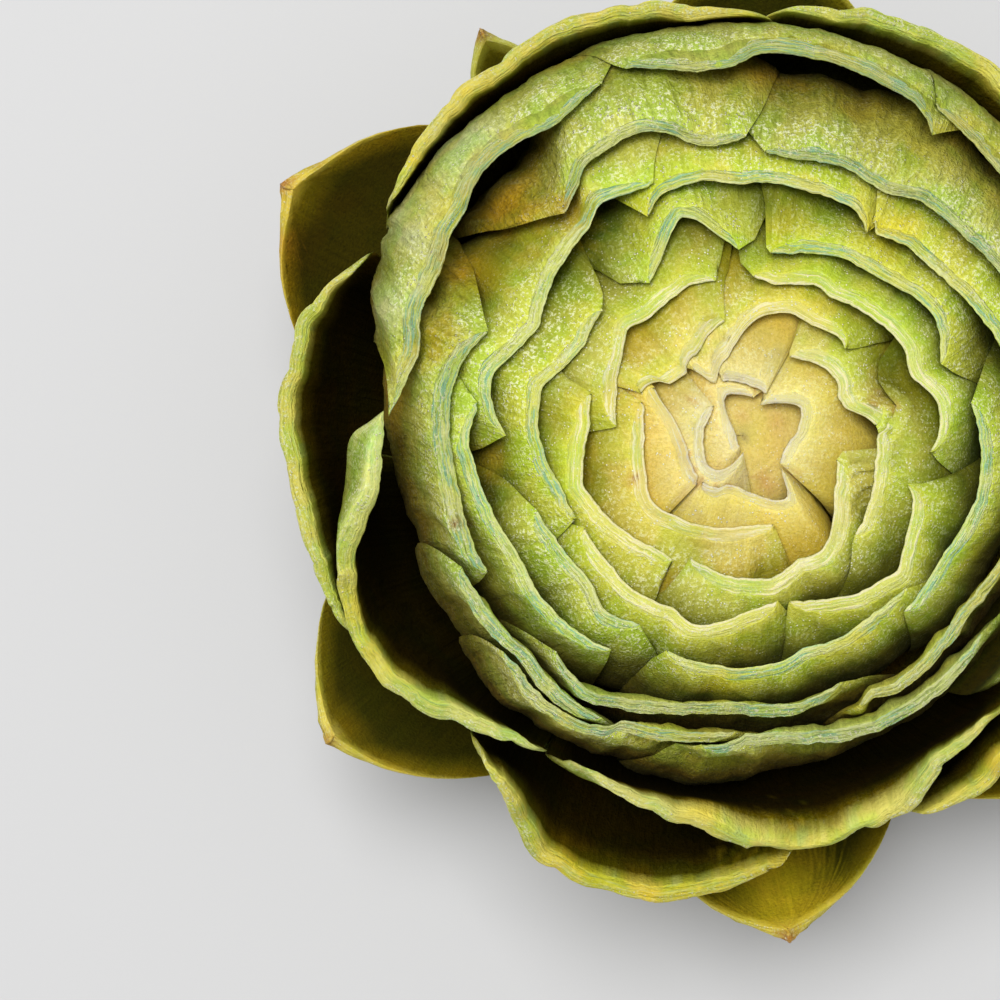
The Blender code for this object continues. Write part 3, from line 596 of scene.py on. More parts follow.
def section_points(blade, build):
    """Points of a blade, profile by profile: up inside, over the rim, down outside.

    Also gives, for each point, how far it lies across the thickness (0 inside, 1 outside),
    how much it belongs to the rim, its distance down from the rim and along the blade, and
    its distance across the edge in millimetres.
    """
    cut_off = blade.bract.kind == "cut"
    inside, over, outside, share = cut_section(blade, build) if cut_off else whole_section(blade)
    points = np.concatenate((inside, over, outside[::-1]))
    columns = points.shape[1]
    none, whole = np.zeros((ROWS, columns)), np.ones((ROWS, columns))
    side = np.concatenate((none, share * np.ones((1, columns)), whole))
    length = np.linalg.norm(np.diff(inside, axis=0), axis=-1)
    below = np.concatenate((np.cumsum(length[::-1], axis=0)[::-1], np.zeros((1, columns))))
    down = three_faces(below, below[-1:], below)
    if cut_off:
        rim = three_faces(none, np.ones((1, columns)), none)
    else:
        step = np.linalg.norm(np.diff(inside, axis=1), axis=-1)
        from_first = np.concatenate((np.zeros((ROWS, 1)), np.cumsum(step, axis=1)), axis=1)
        to_edge = np.minimum(from_first, from_first[:, -1:] - from_first) + 10 * (1 - FINE[:, None])
        down = np.minimum(down, three_faces(to_edge, to_edge[-1:], to_edge))
        rim = np.clip(1 - down / build.lip, 0, 1) ** 0.7
    over_width = side * np.linalg.norm(outside[-1] - inside[-1], axis=-1)
    # the bud sunk under the others' rims gets no rim and takes the deep face colour all over:
    # painted shade
    if blade.bract.lift < SUNK:
        rim, down, over_width = 0 * rim, np.maximum(down, 5.0), 0 * rim + 0.9
    turned = np.radians(blade.directions)
    along = three_faces(turned, turned[-1:], turned) * blade.inner[-1].mean()
    return points, {"side": side, "rim": rim, "down": down, "over": over_width,
                    "along": along + SEED_STEP * blade.seed}


def grid_object(name, points):
    """A grid primitive moved onto rows and columns of points, to be closed where its edges meet."""
    rows, columns = points.shape[:2]
    bpy.ops.object.select_all(action="DESELECT")
    bpy.ops.mesh.primitive_grid_add(x_subdivisions=columns - 1, y_subdivisions=rows - 1, size=2)
    piece = bpy.context.object
    piece.name = name
    mesh = piece.data
    mesh.name = name
    flat = np.empty(len(mesh.vertices) * 3)
    mesh.vertices.foreach_get("co", flat)
    flat = flat.reshape(-1, 3)
    column = np.round((flat[:, 0] + 1) / 2 * (columns - 1)).astype(int)
    row = np.round((flat[:, 1] + 1) / 2 * (rows - 1)).astype(int)
    mesh.vertices.foreach_set("co", (points[row, column] * MM).ravel())
    return piece, row, column


def write_attribute(mesh, name, values):
    """One number for each point of a mesh."""
    layer = mesh.attributes.new(name, "FLOAT", "POINT")
    layer.data.foreach_set("value", np.ascontiguousarray(values, dtype=np.float32))


def hang(piece, material, node):
    """Give a finished piece its material and its place in the frame."""
    piece.data.materials.append(material)
    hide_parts(node)
    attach(piece, "root")


def close_and_smooth(piece):
    """Join the points that meet, turn the faces outwards and shade them smoothly."""
    bpy.ops.object.mode_set(mode="EDIT")
    bpy.ops.mesh.select_all(action="SELECT")
    bpy.ops.mesh.remove_doubles(threshold=MERGING)
    bpy.ops.mesh.normals_make_consistent(inside=False)
    bpy.ops.mesh.select_all(action="DESELECT")
    bpy.ops.object.mode_set(mode="OBJECT")
    bpy.ops.object.shade_smooth()


# ---------------------------------------------------------------- colours
def srgb(red, green, blue):
    """Display values from 0 to 255 as a linear colour."""
    values = np.array((red, green, blue), float) / 255
    return np.where(values <= 0.04045, values / 12.92, ((values + 0.055) / 1.055) ** 2.4)


# distance from the axis, cut edge, face just below the rim, and face deep in the head, whose
# darkness is painted shade over the skin's deeper colour
RIPENESS_AND_DEPTH_SHADE = (
    (0.0, (254, 242, 192), (242, 224, 154), (216, 190, 104)),
    (8.0, (253, 238, 176), (238, 218, 126), (202, 176, 62)),
    (13.0, (246, 233, 156), (224, 212, 92), (144, 132, 12)),
    (17.0, (242, 235, 146), (216, 214, 84), (104, 104, 4)),
    (23.0, (236, 238, 144), (212, 219, 78), (80, 86, 2)),
    (29.0, (234, 239, 146), (216, 222, 80), (104, 94, 2)),
    (35.0, (234, 238, 150), (220, 225, 98), (140, 116, 5)),
    (41.0, (232, 240, 156), (220, 228, 114), (134, 122, 12)),
    (46.0, (236, 232, 124), (208, 216, 88), (96, 94, 8)),
    (54.0, (240, 228, 104), (190, 196, 66), (92, 90, 10)),
    (66.0, (244, 218, 84), (180, 174, 48), (104, 94, 8)),
)


def ripeness_and_depth_shade(crown, place):
    """Colour of the cut edge (0), upper face (1) or deep face with its painted shade (2) at a
    distance from the axis.
    """
    crowns = [entry[0] for entry in RIPENESS_AND_DEPTH_SHADE]
    colours = np.array([srgb(*entry[1 + place]) for entry in RIPENESS_AND_DEPTH_SHADE])
    return np.stack([np.interp(crown, crowns, colours[:, band]) for band in range(3)], axis=-1)


CROWN_REACH = 58.0            # marks further out than this are on the tips of the lowest ring
CROWN_FLOOR, TIP_FLOOR = 56.0, 30.0       # and these are the lowest places that marks reach
# direction and distance from the axis of small marks and patches, some of them painted light and
# shade, their size in millimetres, colour, strength
MARKS_AND_PAINTED_LIGHT = (
    (14, 16.0, 0.9, (150, 72, 52), 0.75), (17, 16.9, 0.5, (120, 50, 50), 0.8),
    (10, 18.4, 0.8, (176, 104, 70), 0.6), (201, 14.0, 0.45, (120, 60, 50), 0.9),
    (202, 14.5, 0.9, (190, 140, 60), 0.5), (100, 11.8, 0.25, (60, 50, 30), 0.9),
    (75, 5.7, 0.35, (170, 110, 30), 0.7), (324, 8.0, 0.5, (180, 120, 50), 0.5),
    (197, 36.3, 0.9, (150, 60, 60), 0.7), (198, 34.6, 0.6, (130, 90, 40), 0.7),
    (186, 7.2, 0.4, (190, 120, 60), 0.5), (200, 7.0, 0.4, (190, 120, 60), 0.5),
    (214, 7.2, 0.5, (180, 105, 60), 0.6), (226, 7.6, 0.6, (170, 90, 55), 0.7),
    (240, 6.8, 0.4, (185, 110, 60), 0.6), (254, 6.3, 0.4, (185, 110, 60), 0.6),
    (20, 4.6, 1.5, (208, 164, 96), 0.55), (90, 2.4, 0.9, (206, 168, 96), 0.6),
    (294, 6.2, 1.4, (196, 150, 80), 0.7), (146, 7.4, 0.5, (190, 130, 60), 0.5),
    # a yellow area, then orange-brown patches on the lower faces, partly the skin's warm tone and
    # partly painted shade
    (150, 43.3, 2.8, (206, 202, 84), 0.75), (134, 40.7, 5.0, (182, 150, 22), 0.8),
    (148, 38.0, 4.0, (170, 140, 16), 0.7), (128, 34.0, 3.4, (176, 142, 20), 0.7),
    (163, 39.4, 3.6, (176, 150, 24), 0.6), (186, 31.0, 2.6, (190, 158, 30), 0.6),
    # a yellow-green patch, then a painted pool of light over the hollow of lower_bract_7
    (62, 41.0, 6.0, (178, 176, 60), 0.5), (277, 58.5, 7.0, (216, 186, 34), 0.85),
    (133, 48.5, 5.0, (224, 230, 176), 0.5), (146, 47.0, 5.0, (220, 228, 170), 0.5),
    (160, 45.5, 4.0, (214, 222, 160), 0.45),
    # dried tips of the lowest ring
    (150, 66.6, 1.6, (176, 100, 50), 0.8), (156, 64.6, 2.4, (206, 150, 70), 0.5),
    (121.5, 61.0, 1.5, (170, 96, 50), 0.8), (217, 65.0, 1.6, (168, 110, 50), 0.7),
    (277, 65.2, 1.6, (176, 96, 56), 0.8), (359, 66.0, 1.6, (170, 100, 50), 0.8),
    (40, 64.0, 1.6, (170, 100, 50), 0.8), (84, 65.0, 1.6, (172, 104, 50), 0.8),
    (318, 64.5, 1.6, (170, 100, 50), 0.8), (146, 64.2, 1.2, (200, 150, 60), 0.6),
)


# colour just inside a whole blade's lip and deep in its hollow, which is painted shade, and the
# distance between them
HOLLOW_SHADES = {"broad": ((138, 120, 10), (44, 34, 1), 8.0),
           "pointed": ((188, 160, 20), (68, 62, 1), 8.0)}
# distance from the axis, distance down a blade at which its colour is that of the depth, darkened
# by painted shade
SHADE_DEPTHS = ((3, 14, 26, 34), (4, 6, 8, 12))


def with_marks_and_painted_light(colour, points):
    """The colour with the marks and the patches of painted light and shade on it that lie near
    these points.
    """
    x, y, z = points[..., 0], points[..., 1], points[..., 2]
    for direction, distance, size, mark_colour, strength in MARKS_AND_PAINTED_LIGHT:
        angle = math.radians(direction)
        away = np.hypot(x - distance * math.cos(angle), y - distance * math.sin(angle)) / size
        ragged = 1 + 0.35 * wander(x + 1.7 * y, direction, 0.6)
        amount = strength * np.clip(1.3 - away * ragged, 0, 1)
        amount = amount * (z > (CROWN_FLOOR if distance < CROWN_REACH else TIP_FLOOR))
        colour = colour + (srgb(*mark_colour) - colour) * amount[..., None]
    return colour


def painted(blade, points, side, rim, down):
    """The base colour of each point of a blade, with painted shade that deepens down the blade and
    in the hollows of whole blades.
    """
    kind = blade.bract.kind
    radius = np.broadcast_to(blade.inner[-1][None, :], side.shape)
    rim_colour, upper, deep = (ripeness_and_depth_shade(radius, place) for place in range(3))
    # the face darkens down the blade towards the deep colour: painted shade where the blades close
    # over it
    depth = np.clip(down / np.interp(radius, *SHADE_DEPTHS), 0, 1)[..., None] ** 0.9
    face = upper + (deep - upper) * depth
    if kind in HOLLOW_SHADES:
        near, far, fall = HOLLOW_SHADES[kind]
        # the hollow of a whole blade darkens from its lip downwards: painted shade
        dark = np.clip(down / fall, 0, 1)[..., None] ** 0.6
        hollow = srgb(*near) + (srgb(*far) - srgb(*near)) * dark
        face = hollow + (face - hollow) * side[..., None]
    share = 0.45 if kind == "cut" else 0.9
    colour = face + (rim_colour - face) * (rim * share)[..., None]
    warmth = 0.05 * math.sin(blade.seed * 2.399)
    own = np.array((1 + warmth, 1 + 0.03 * math.cos(blade.seed * 1.7), 1 - 2 * warmth))
    return np.clip(with_marks_and_painted_light(colour * own, points), 0, 1)


# ---------------------------------------------------------------- materials
def rgba(colour):
    """A colour with full opacity."""
    return (*colour, 1.0)


class Graph:
    """Short spellings for adding nodes to a material."""

    def __init__(self, name):
        self.material = bpy.data.materials.new(name)
        self.material.use_nodes = True
        self.tree = self.material.node_tree
        self.shader = self.tree.nodes["Principled BSDF"]

    def add(self, kind, settings=None, **sockets):
        node = self.tree.nodes.new("ShaderNode" + kind)
        for key, value in (settings or {}).items():
            setattr(node, key, value)
        for key, value in sockets.items():
            self.feed(node.inputs[key.replace("_", " ")], value)
        return node

    def feed(self, socket, value):
        if isinstance(value, bpy.types.NodeSocket):
            self.tree.links.new(value, socket)
        else:
            socket.default_value = value

    def math(self, operation, first, second=0.0, clamp=False):
        node = self.tree.nodes.new("ShaderNodeMath")
        node.operation = operation
        node.use_clamp = clamp
        self.feed(node.inputs[0], first)
        self.feed(node.inputs[1], second)
        return node.outputs[0]

    def times(self, first, second):
        return self.math("MULTIPLY", first, second)

    def attribute(self, name, output="Fac"):
        return self.add("Attribute", {"attribute_name": name}).outputs[output]

    def vector(self, x, y, z):
        return self.add("CombineXYZ", X=x, Y=y, Z=z).outputs[0]

    def noise(self, place, scale, detail, roughness):
        return self.add("TexNoise", Vector=place, Scale=scale, Detail=detail,
                        Roughness=roughness).outputs["Fac"]

    def scaled(self, colour, factor):
        node = self.add("VectorMath", {"operation": "SCALE"})
        self.feed(node.inputs[0], colour)
        self.feed(node.inputs["Scale"], factor)
        return node.outputs[0]

    def ramp(self, value, low, high, start=0.0, end=1.0):
        node = self.add("MapRange", {"interpolation_type": "SMOOTHSTEP"}, Value=value)
        node.inputs["From Min"].default_value = low
        node.inputs["From Max"].default_value = high
        node.inputs["To Min"].default_value = start
        node.inputs["To Max"].default_value = end
        return node.outputs[0]

    def mix(self, factor, first, second, blend="MIX"):
        node = self.tree.nodes.new("ShaderNodeMix")
        node.data_type = "RGBA"
        node.blend_type = blend
        self.feed(node.inputs[0], factor)
        self.feed(node.inputs[6], first)
        self.feed(node.inputs[7], second)
        return node.outputs[2]


Look = namedtuple("Look", "fibre creases leafy golden furrows pale_lines line cool_lines lip "
                          "frost speckles glints bump rough gloss glow")
# how the skin differs from group to group: fibres, creases and their painted shade, tints of its
# green and golden patches, furrows with painted shade and pale lines on the cut edge and the colour
# they take, cool lines, bright border, frost, painted glints per metre and their strength, relief,
# roughness, gloss, light let through
LOOKS = {
    "core": Look(0.05, 0.0, (0.96, 0.98, 0.80), (1.02, 0.96, 0.78), 0.1, 0.9, "core_line", 0.0,
                 0.9, 0.3, 2600.0, 1.0, 0.7, 0.42, 0.3, 0.4),
    "inner": Look(0.08, 0.03, (0.82, 0.98, 0.54), (1.03, 0.95, 0.70), 0.25, 0.8, "core_line", 0.2,
                  0.8, 0.5, 2600.0, 1.1, 0.7, 0.45, 0.3, 0.25),
    "middle": Look(0.10, 0.08, (0.77, 0.96, 0.56), (1.06, 0.95, 0.58), 0.5, 0.7, "crown_line",
                   0.85, 0.6, 0.75, 2600.0, 1.3, 0.9, 0.45, 0.25, 0.0),
    "crown": Look(0.12, 0.20, (0.76, 0.95, 0.64), (1.08, 0.95, 0.50), 0.7, 0.65, "crown_line",
                  0.85, 0.5, 1.0, 2400.0, 1.3, 1.2, 0.5, 0.25, 0.0),
    "side": Look(0.14, 0.20, (0.74, 0.93, 0.60), (1.12, 0.98, 0.55), 0.3, 0.4, "lip_line", 0.2,
                 0.0, 0.8, 2200.0, 1.0, 1.0, 0.45, 0.03, 0.0),
    "lower": Look(0.10, 0.08, (0.86, 0.95, 0.72), (1.06, 0.94, 0.50), 0.1, 0.25, "lip_line", 0.0,
                  0.0, 0.35, 2200.0, 0.6, 0.8, 0.42, 0.12, 0.0),
}


class Skin(Graph):
    """The skin of one group of bracts: fibres, wrinkles, mottling, frost and a fibrous edge."""

    def __init__(self, name, look, colours):
        super().__init__(name)
        self.look, self.colours = look, colours
        self.rim, self.over, self.down, self.side, self.along = (
            self.attribute(trait) for trait in ("rim", "over", "down", "side", "along"))
        self.uncut = self.math("SUBTRACT", 1.0, self.rim)
        self.place = self.add("TexCoord").outputs["Object"]
        self.patterns()
        self.leaf = self.glint = None

    def patterns(self):
        """Fibres run from root to rim on the faces, and lines along the band on a cut edge."""
        self.fibres = self.noise(self.vector(
            self.times(self.along, 1.7), self.times(self.down, 0.11), self.side), 1.0, 4.0, 0.6)
        self.wrinkles = self.add("TexNoise", Vector=self.vector(
            self.times(self.along, 1.3), self.times(self.down, 0.5), self.times(self.side, 3.0)),
            Scale=1.0, Detail=5.0, Roughness=0.66, Distortion=0.9).outputs["Fac"]
        self.band = self.vector(self.times(self.along, 0.24), self.times(self.over, 2.7),
                                self.times(self.side, 0.3))
        self.lines = self.noise(self.band, 1.0, 5.0, 0.65)
        self.mottle = self.noise(self.place, 150.0, 4.0, 0.58)
        self.patches = self.noise(self.place, 65.0, 3.0, 0.55)
        self.grain = self.noise(self.place, 2500.0, 2.0, 0.7)

    def living_colour(self):
        """The painted colour with fibres, painted shade in the creases, grain, and green and golden
        patches.
        """
        look = self.look
        shade = self.ramp(self.fibres, 0.3, 0.7, 1 - look.fibre, 1 + look.fibre)
        # painted shade in the creases: the colour darkens where the wrinkles sink
        shade = self.times(shade, self.ramp(self.wrinkles, 0.36, 0.52, 1 - look.creases, 1.0))
        shade = self.times(shade, self.ramp(self.grain, 0.34, 0.54, 0.90, 1.03))
        shade = self.math("ADD", self.times(shade, self.uncut), self.rim)
        colour = self.scaled(self.attribute("tint", "Color"), shade)
        self.leaf = self.mix(1.0, colour, rgba(look.leafy), "MULTIPLY")
        colour = self.mix(self.ramp(self.mottle, 0.42, 0.62), colour, self.leaf)
        golden = self.mix(1.0, colour, rgba(look.golden), "MULTIPLY")
        return self.mix(self.ramp(self.patches, 0.50, 0.66), colour, golden)

    def edge_colour(self, colour):
        """Painted shade in the furrows, pale and blue-green lines, and a light line where the skin
        ends.
        """
        look, line = self.look, rgba(getattr(self.colours, self.look.line))
        # painted shade in the furrows of the cut edge, where its lines sink
        furrow_shade_mask = self.times(self.ramp(self.lines, 0.47, 0.40), self.rim)
        colour = self.mix(self.times(furrow_shade_mask, look.furrows), colour, self.scaled(self.leaf, 0.5))
        pale = self.times(self.ramp(self.lines, 0.52, 0.60, 0.0, look.pale_lines), self.rim)
        colour = self.mix(pale, colour, line)
        if look.cool_lines:
            cool = self.ramp(self.noise(self.band, 1.6, 3.0, 0.5), 0.50, 0.58, 0.0, look.cool_lines)
            cool = self.times(self.times(cool, self.rim), self.ramp(self.mottle, 0.38, 0.56))
            colour = self.mix(cool, colour, rgba(self.colours.cool_line))
        if look.lip:
            lip = self.times(self.ramp(self.over, 0.40, 0.24), self.ramp(self.over, 0.02, 0.14))
            lip = self.times(self.times(lip, self.rim), look.lip)
            lip = self.times(lip, self.ramp(self.grain, 0.38, 0.52, 0.35, 1.0))
            colour = self.mix(lip, colour, line)
        return colour

    def downy(self, colour):
        """A frost of short pale hairs on the outer faces, and painted highlights: white specks
        where single grains glint.
        """
        look = self.look
        outer = self.times(self.ramp(self.side, 0.15, 0.5, 0.03, 1.0),
                           self.ramp(self.down, 2.0, 8.0, 1.0, 0.12))
        frost = self.times(self.ramp(self.grain, 0.50, 0.60), self.ramp(self.wrinkles, 0.40, 0.54))
        frost = self.times(frost, self.ramp(self.patches, 0.56, 0.42, 0.35, 1.0))
        frost = self.times(self.times(frost, outer), look.frost)
        colour = self.mix(frost, colour, rgba(self.colours.frost))
        # painted highlights: white specks in the base colour where single grains of the down would
        # glint
        specks = self.add("TexVoronoi", Vector=self.place, Scale=look.speckles)
        chosen = self.add("SeparateColor", Color=specks.outputs["Color"]).outputs[0]
        glint = self.times(self.ramp(specks.outputs["Distance"], 0.36, 0.16),
                           self.math("GREATER_THAN", chosen, 0.60))
        clusters = self.noise(self.place, 420.0, 3.0, 0.6)
        glint = self.times(glint, self.ramp(clusters, 0.44, 0.60, 0.0, 1.0))
        self.glint = self.times(glint, self.times(outer, look.glints))
        return self.mix(self.glint, colour, rgba(self.colours.glint))

    def relief(self):
        """Folds and fibres on the faces, lines on the edge, and the grain over both."""
        folds = self.times(self.wrinkles, 3.6 * self.look.creases)
        faces = self.times(self.uncut, self.math("ADD", self.times(self.fibres, 0.5), folds))
        edge = self.times(self.times(self.lines, self.rim), 1.3)
        fine = self.math("ADD", self.times(self.grain, 0.35), self.times(self.glint, 0.25))
        height = self.math("ADD", self.math("ADD", faces, edge), fine)
        bump = self.add("Bump", Strength=self.look.bump, Distance=0.0007, Height=height)
        return bump.outputs["Normal"]

    def roughness(self):
        """Grainy, and dull where the blades shut the skin in."""
        open_face = self.times(self.side, self.ramp(self.down, 8.0, 1.5))
        shut_in = self.math("SUBTRACT", 1.0, self.math("MAXIMUM", self.rim, open_face))
        rough = self.ramp(self.grain, 0.35, 0.65, self.look.rough + 0.10, self.look.rough - 0.08)
        return self.math("ADD", rough, self.times(shut_in, 0.5), True)


def bract_material(prefix, colours):
    """The material of one group of bracts."""
    look = LOOKS[prefix]
    skin = Skin(prefix + "_skin", look, colours)
    inputs = skin.shader.inputs
    skin.feed(inputs["Base Color"], skin.downy(skin.edge_colour(skin.living_colour())))
    skin.feed(inputs["Normal"], skin.relief())
    skin.feed(inputs["Roughness"], skin.roughness())
    inputs["Specular IOR Level"].default_value = look.gloss
    inputs["Subsurface Weight"].default_value = look.glow
    inputs["Subsurface Radius"].default_value = (1.0, 0.85, 0.2)
    inputs["Subsurface Scale"].default_value = 0.0013
    return skin.material


# ---------------------------------------------------------------- stem and heart
# radius and height of points up the stem and over the heart
HEART_OUTLINE = (
    (0.0, 0.0), (11.6, 0.0), (12.6, 0.25), (STEM_RADIUS, 1.0), (STEM_RADIUS, 5.4),
    (STEM_RADIUS + 0.4, 9.2), (STEM_RADIUS + 1.1, 11.6), (16.4, 14.6), (20.1, 18.3), (22.5, 22.2),
    (22.3, 25.1), (19.2, 27.8), (11.1, 29.9), (5.0, 30.7), (0.0, 30.9),
)
HEART_ROWS, HEART_COLUMNS = 150, 241
# height, number round the stem and turn of its ribs
RIBS = ((0.28, 9, 0.4), (0.16, 23, 1.1), (0.08, 41, 0.0))


def heart_points():
    """The stem and heart as profiles round the axis, with the stem's ribs."""
    corners = np.array(HEART_OUTLINE)
    length = np.concatenate(((0,), np.cumsum(np.linalg.norm(np.diff(corners, axis=0), axis=1))))
    even = np.linspace(0, length[-1], HEART_ROWS)
    radius, height = (np.interp(even, length, corners[:, axis]) for axis in (0, 1))
    angle = np.linspace(0, math.tau, HEART_COLUMNS)
    ribs = sum(rise * np.cos(number * angle + turn) for rise, number, turn in RIBS)
    on_stem = np.clip(radius / STEM_RADIUS, 0, 1) ** 4 * np.clip((15 - height) / 6, 0, 1)
    radius = (radius[:, None] + ribs * on_stem[:, None])
    # the cut face underneath is hollowed a little, so that the stem stands on its border
    half = 0.5 * corners[1, 0]
    hollow = 0.25 * (1 - np.clip(np.abs(even - half) / half, 0, 1)) * (height < 0.01)
    height = (height + hollow)[:, None] + 0 * angle
    return np.stack((radius * np.cos(angle), radius * np.sin(angle), height), axis=-1)


FLESH_BORDER, FIBRE_ENDS, DRIED_FLESH = (168, 172, 92), (130, 106, 52), (150, 112, 62)
STEM_GROOVES, DRIED_SKIN = (92, 106, 42), (130, 104, 52)
FLESH_FADE = (0.006, 0.0125)  # distances from the stem's axis, in metres, where its flesh greens
UNDERSIDE = (0.0002, 0.0009)  # heights, in metres, where the cut face turns into skin


def stem_material(colours):
    """Pale cut flesh with fibre ends underneath, ribbed green skin round the side."""
    graph = Graph("stem_skin")
    place = graph.add("TexCoord").outputs["Object"]
    drawn_out = graph.add("Mapping", Vector=place)
    drawn_out.inputs["Scale"].default_value = (1.0, 1.0, 0.08)
    drawn_out = drawn_out.outputs[0]
    axis = graph.add("SeparateXYZ", Vector=place).outputs
    away = graph.math("POWER", graph.math("ADD", graph.math("POWER", axis[0], 2.0),
                                          graph.math("POWER", axis[1], 2.0)), 0.5)
    fibres = graph.noise(drawn_out, 900.0, 5.0, 0.6)
    blotches = graph.noise(place, 180.0, 4.0, 0.6)
    ends = graph.add("TexVoronoi", Vector=drawn_out, Scale=520.0).outputs["Distance"]
    flesh = graph.mix(graph.ramp(away, *FLESH_FADE), rgba(colours.flesh), rgba(srgb(*FLESH_BORDER)))
    flesh = graph.mix(graph.ramp(ends, 0.32, 0.14, 0.0, 0.7), flesh, rgba(srgb(*FIBRE_ENDS)))
    flesh = graph.mix(graph.ramp(blotches, 0.5, 0.68, 0.0, 0.6), flesh, rgba(srgb(*DRIED_FLESH)))
    skin = graph.mix(graph.ramp(fibres, 0.36, 0.62), rgba(srgb(*STEM_GROOVES)), rgba(colours.stem))
    skin = graph.mix(graph.ramp(blotches, 0.52, 0.66, 0.0, 0.5), skin, rgba(srgb(*DRIED_SKIN)))
    colour = graph.mix(graph.ramp(axis[2], *UNDERSIDE), flesh, skin)
    graph.feed(graph.shader.inputs["Base Color"], colour)
    bump = graph.add("Bump", Strength=0.9, Distance=0.0006, Height=fibres)
    graph.feed(graph.shader.inputs["Normal"], bump.outputs["Normal"])
    graph.shader.inputs["Roughness"].default_value = 0.55
    graph.shader.inputs["Specular IOR Level"].default_value = 0.35
    return graph.material


# ---------------------------------------------------------------- what a user may change
def length_setting(name, description, default, **limits):
    """A length property; its default is in millimetres."""
    return FloatProperty(name=name, description=description, default=default * MM, precision=5,
                         unit="LENGTH", **limits)


def share_setting(name, description, default, most=2.0):
    """A property that scales something."""
    return FloatProperty(name=name, description=description, default=default, min=0.0, max=most,
                         subtype="FACTOR")


def colour_setting(name, description, *display):
    """A colour property; its default is given as display values from 0 to 255."""
    return FloatVectorProperty(name=name, description=description, default=tuple(srgb(*display)),
                               min=0.0, max=1.0, subtype="COLOR")


class ARTICHOKE_PG_sizes(PropertyGroup):
    """Sizes that the blades are made to"""
    seam: length_setting("Seam", "Free space between neighbouring blades", 0.12, min=0.05 * MM)
    column: length_setting("Mesh spacing", "Spacing of the points along a rim", 0.55, min=0.3 * MM)
    lip: length_setting("Lip", "Width of the pale border of a whole blade", 2.6, min=0.5 * MM)
    edge_rounding: length_setting("Edge rounding", "Softened inner corner of a cut edge", 0.14,
                                  min=0.0)
    swelling: share_setting("Swelling", "How far cut blades swell out below their rims", 1.0)
    waves: share_setting("Waves", "How strongly the rims wave", 1.0)


class ARTICHOKE_PG_colours(PropertyGroup):
    """Colours of the skin and the cut edges"""
    core_line: colour_setting("Core line", "Lines on the cut edges at the core", 255, 244, 190)
    crown_line: colour_setting("Crown line", "Lines on the outer cut edges", 240, 244, 176)
    lip_line: colour_setting("Lip line", "Lines on the lips of the whole blades", 248, 237, 132)
    cool_line: colour_setting("Cool line", "Blue-green lines on the cut edges", 146, 200, 160)
    frost: colour_setting("Frost", "Short pale hairs on the outer faces", 242, 245, 198)
    # painted highlights: the colour of the specks that stand in for glints
    glint: colour_setting("Glint", "Single grains that glint", 255, 251, 218)
    flesh: colour_setting("Flesh", "Cut flesh in the middle of the stem", 214, 206, 150)
    stem: colour_setting("Stem", "Skin on the ribs of the stem", 158, 168, 96)


class ARTICHOKE_PG_stage(PropertyGroup):
    """Table, light and camera"""
    paper: FloatVectorProperty(name="Table", description="Colour of the table's paper",
                               default=(0.603, 0.603, 0.607), min=0.0, max=1.0, subtype="COLOR")
    air: share_setting("Air", "Strength of the light from all sides", 0.405)
    lamp_power: FloatProperty(name="Lamp power", description="Power of the softbox", default=27.5,
                              min=0.0, unit="POWER")
    lamp_width: length_setting("Lamp width", "Longer side of the softbox", 900.0, min=0.0)
    lamp_height: length_setting("Lamp height", "Shorter side of the softbox", 700.0, min=0.0)
    lamp_place: FloatVectorProperty(name="Lamp place", description="Middle of the softbox",
                                    default=(-0.28, 0.36, 1.7), subtype="TRANSLATION")
    camera_place: FloatVectorProperty(name="Camera place", description="Where the camera hangs",
                                      default=(-0.0294, -0.0078, CAD_BOX[1][2] + 0.3267),
                                      subtype="TRANSLATION")
    lens: FloatProperty(name="Lens", description="Focal length in millimetres", default=98.0,
                        min=20.0, max=200.0, unit="CAMERA")


# ---------------------------------------------------------------- operators
def make_group(prefix, scene):
    """Build every blade of one group and hang it on the frame."""
    sizes = scene.artichoke_sizes
    build = Build(sizes.seam / MM, sizes.column / MM, sizes.lip / MM, sizes.edge_rounding / MM,
                  sizes.swelling, sizes.waves)
    material = bract_material(prefix, scene.artichoke_colours)
    group = [blade for name, blade in laid_blades(build).items() if name.startswith(prefix)]
    if not group:
        raise RuntimeError(f"no blade belongs to the group {prefix}")
    for blade in group:
        points, traits = section_points(blade, build)
        piece, row, column = grid_object(blade.bract.name + "_blade", points)
        tint = painted(blade, points, traits["side"], traits["rim"], traits["down"])
        layer = piece.data.attributes.new("tint", "FLOAT_COLOR", "POINT")
        opaque = np.ones((len(row), 4), dtype=np.float32)
        opaque[:, :3] = tint[row, column]
        layer.data.foreach_set("color", opaque.ravel())
        for name, values in traits.items():
            write_attribute(piece.data, name, values[row, column])
        close_and_smooth(piece)
        hang(piece, material, blade.bract.name)


class BractGroup:
    """What the operators for the groups of bracts share."""
    bl_options = {"REGISTER", "UNDO"}
    group = ""

    def execute(self, context):
        make_group(self.group, context.scene)
        return {"FINISHED"}


class ARTICHOKE_OT_core(BractGroup, Operator):
    """Fold the small pale blades of the core into a star"""
    bl_idname = "artichoke.core"
    bl_label = "Core bracts"
    group = "core"


class ARTICHOKE_OT_inner(BractGroup, Operator):
    """Lay the pale inner blades round the core"""
    bl_idname = "artichoke.inner"
    bl_label = "Inner bracts"
    group = "inner"


class ARTICHOKE_OT_middle(BractGroup, Operator):
    """Lay the green blades in the middle of the head"""
    bl_idname = "artichoke.middle"
    bl_label = "Middle bracts"
    group = "middle"


class ARTICHOKE_OT_crown(BractGroup, Operator):
    """Lay the outer blades that the cut went through"""
    bl_idname = "artichoke.crown"
    bl_label = "Crown bracts"
    group = "crown"


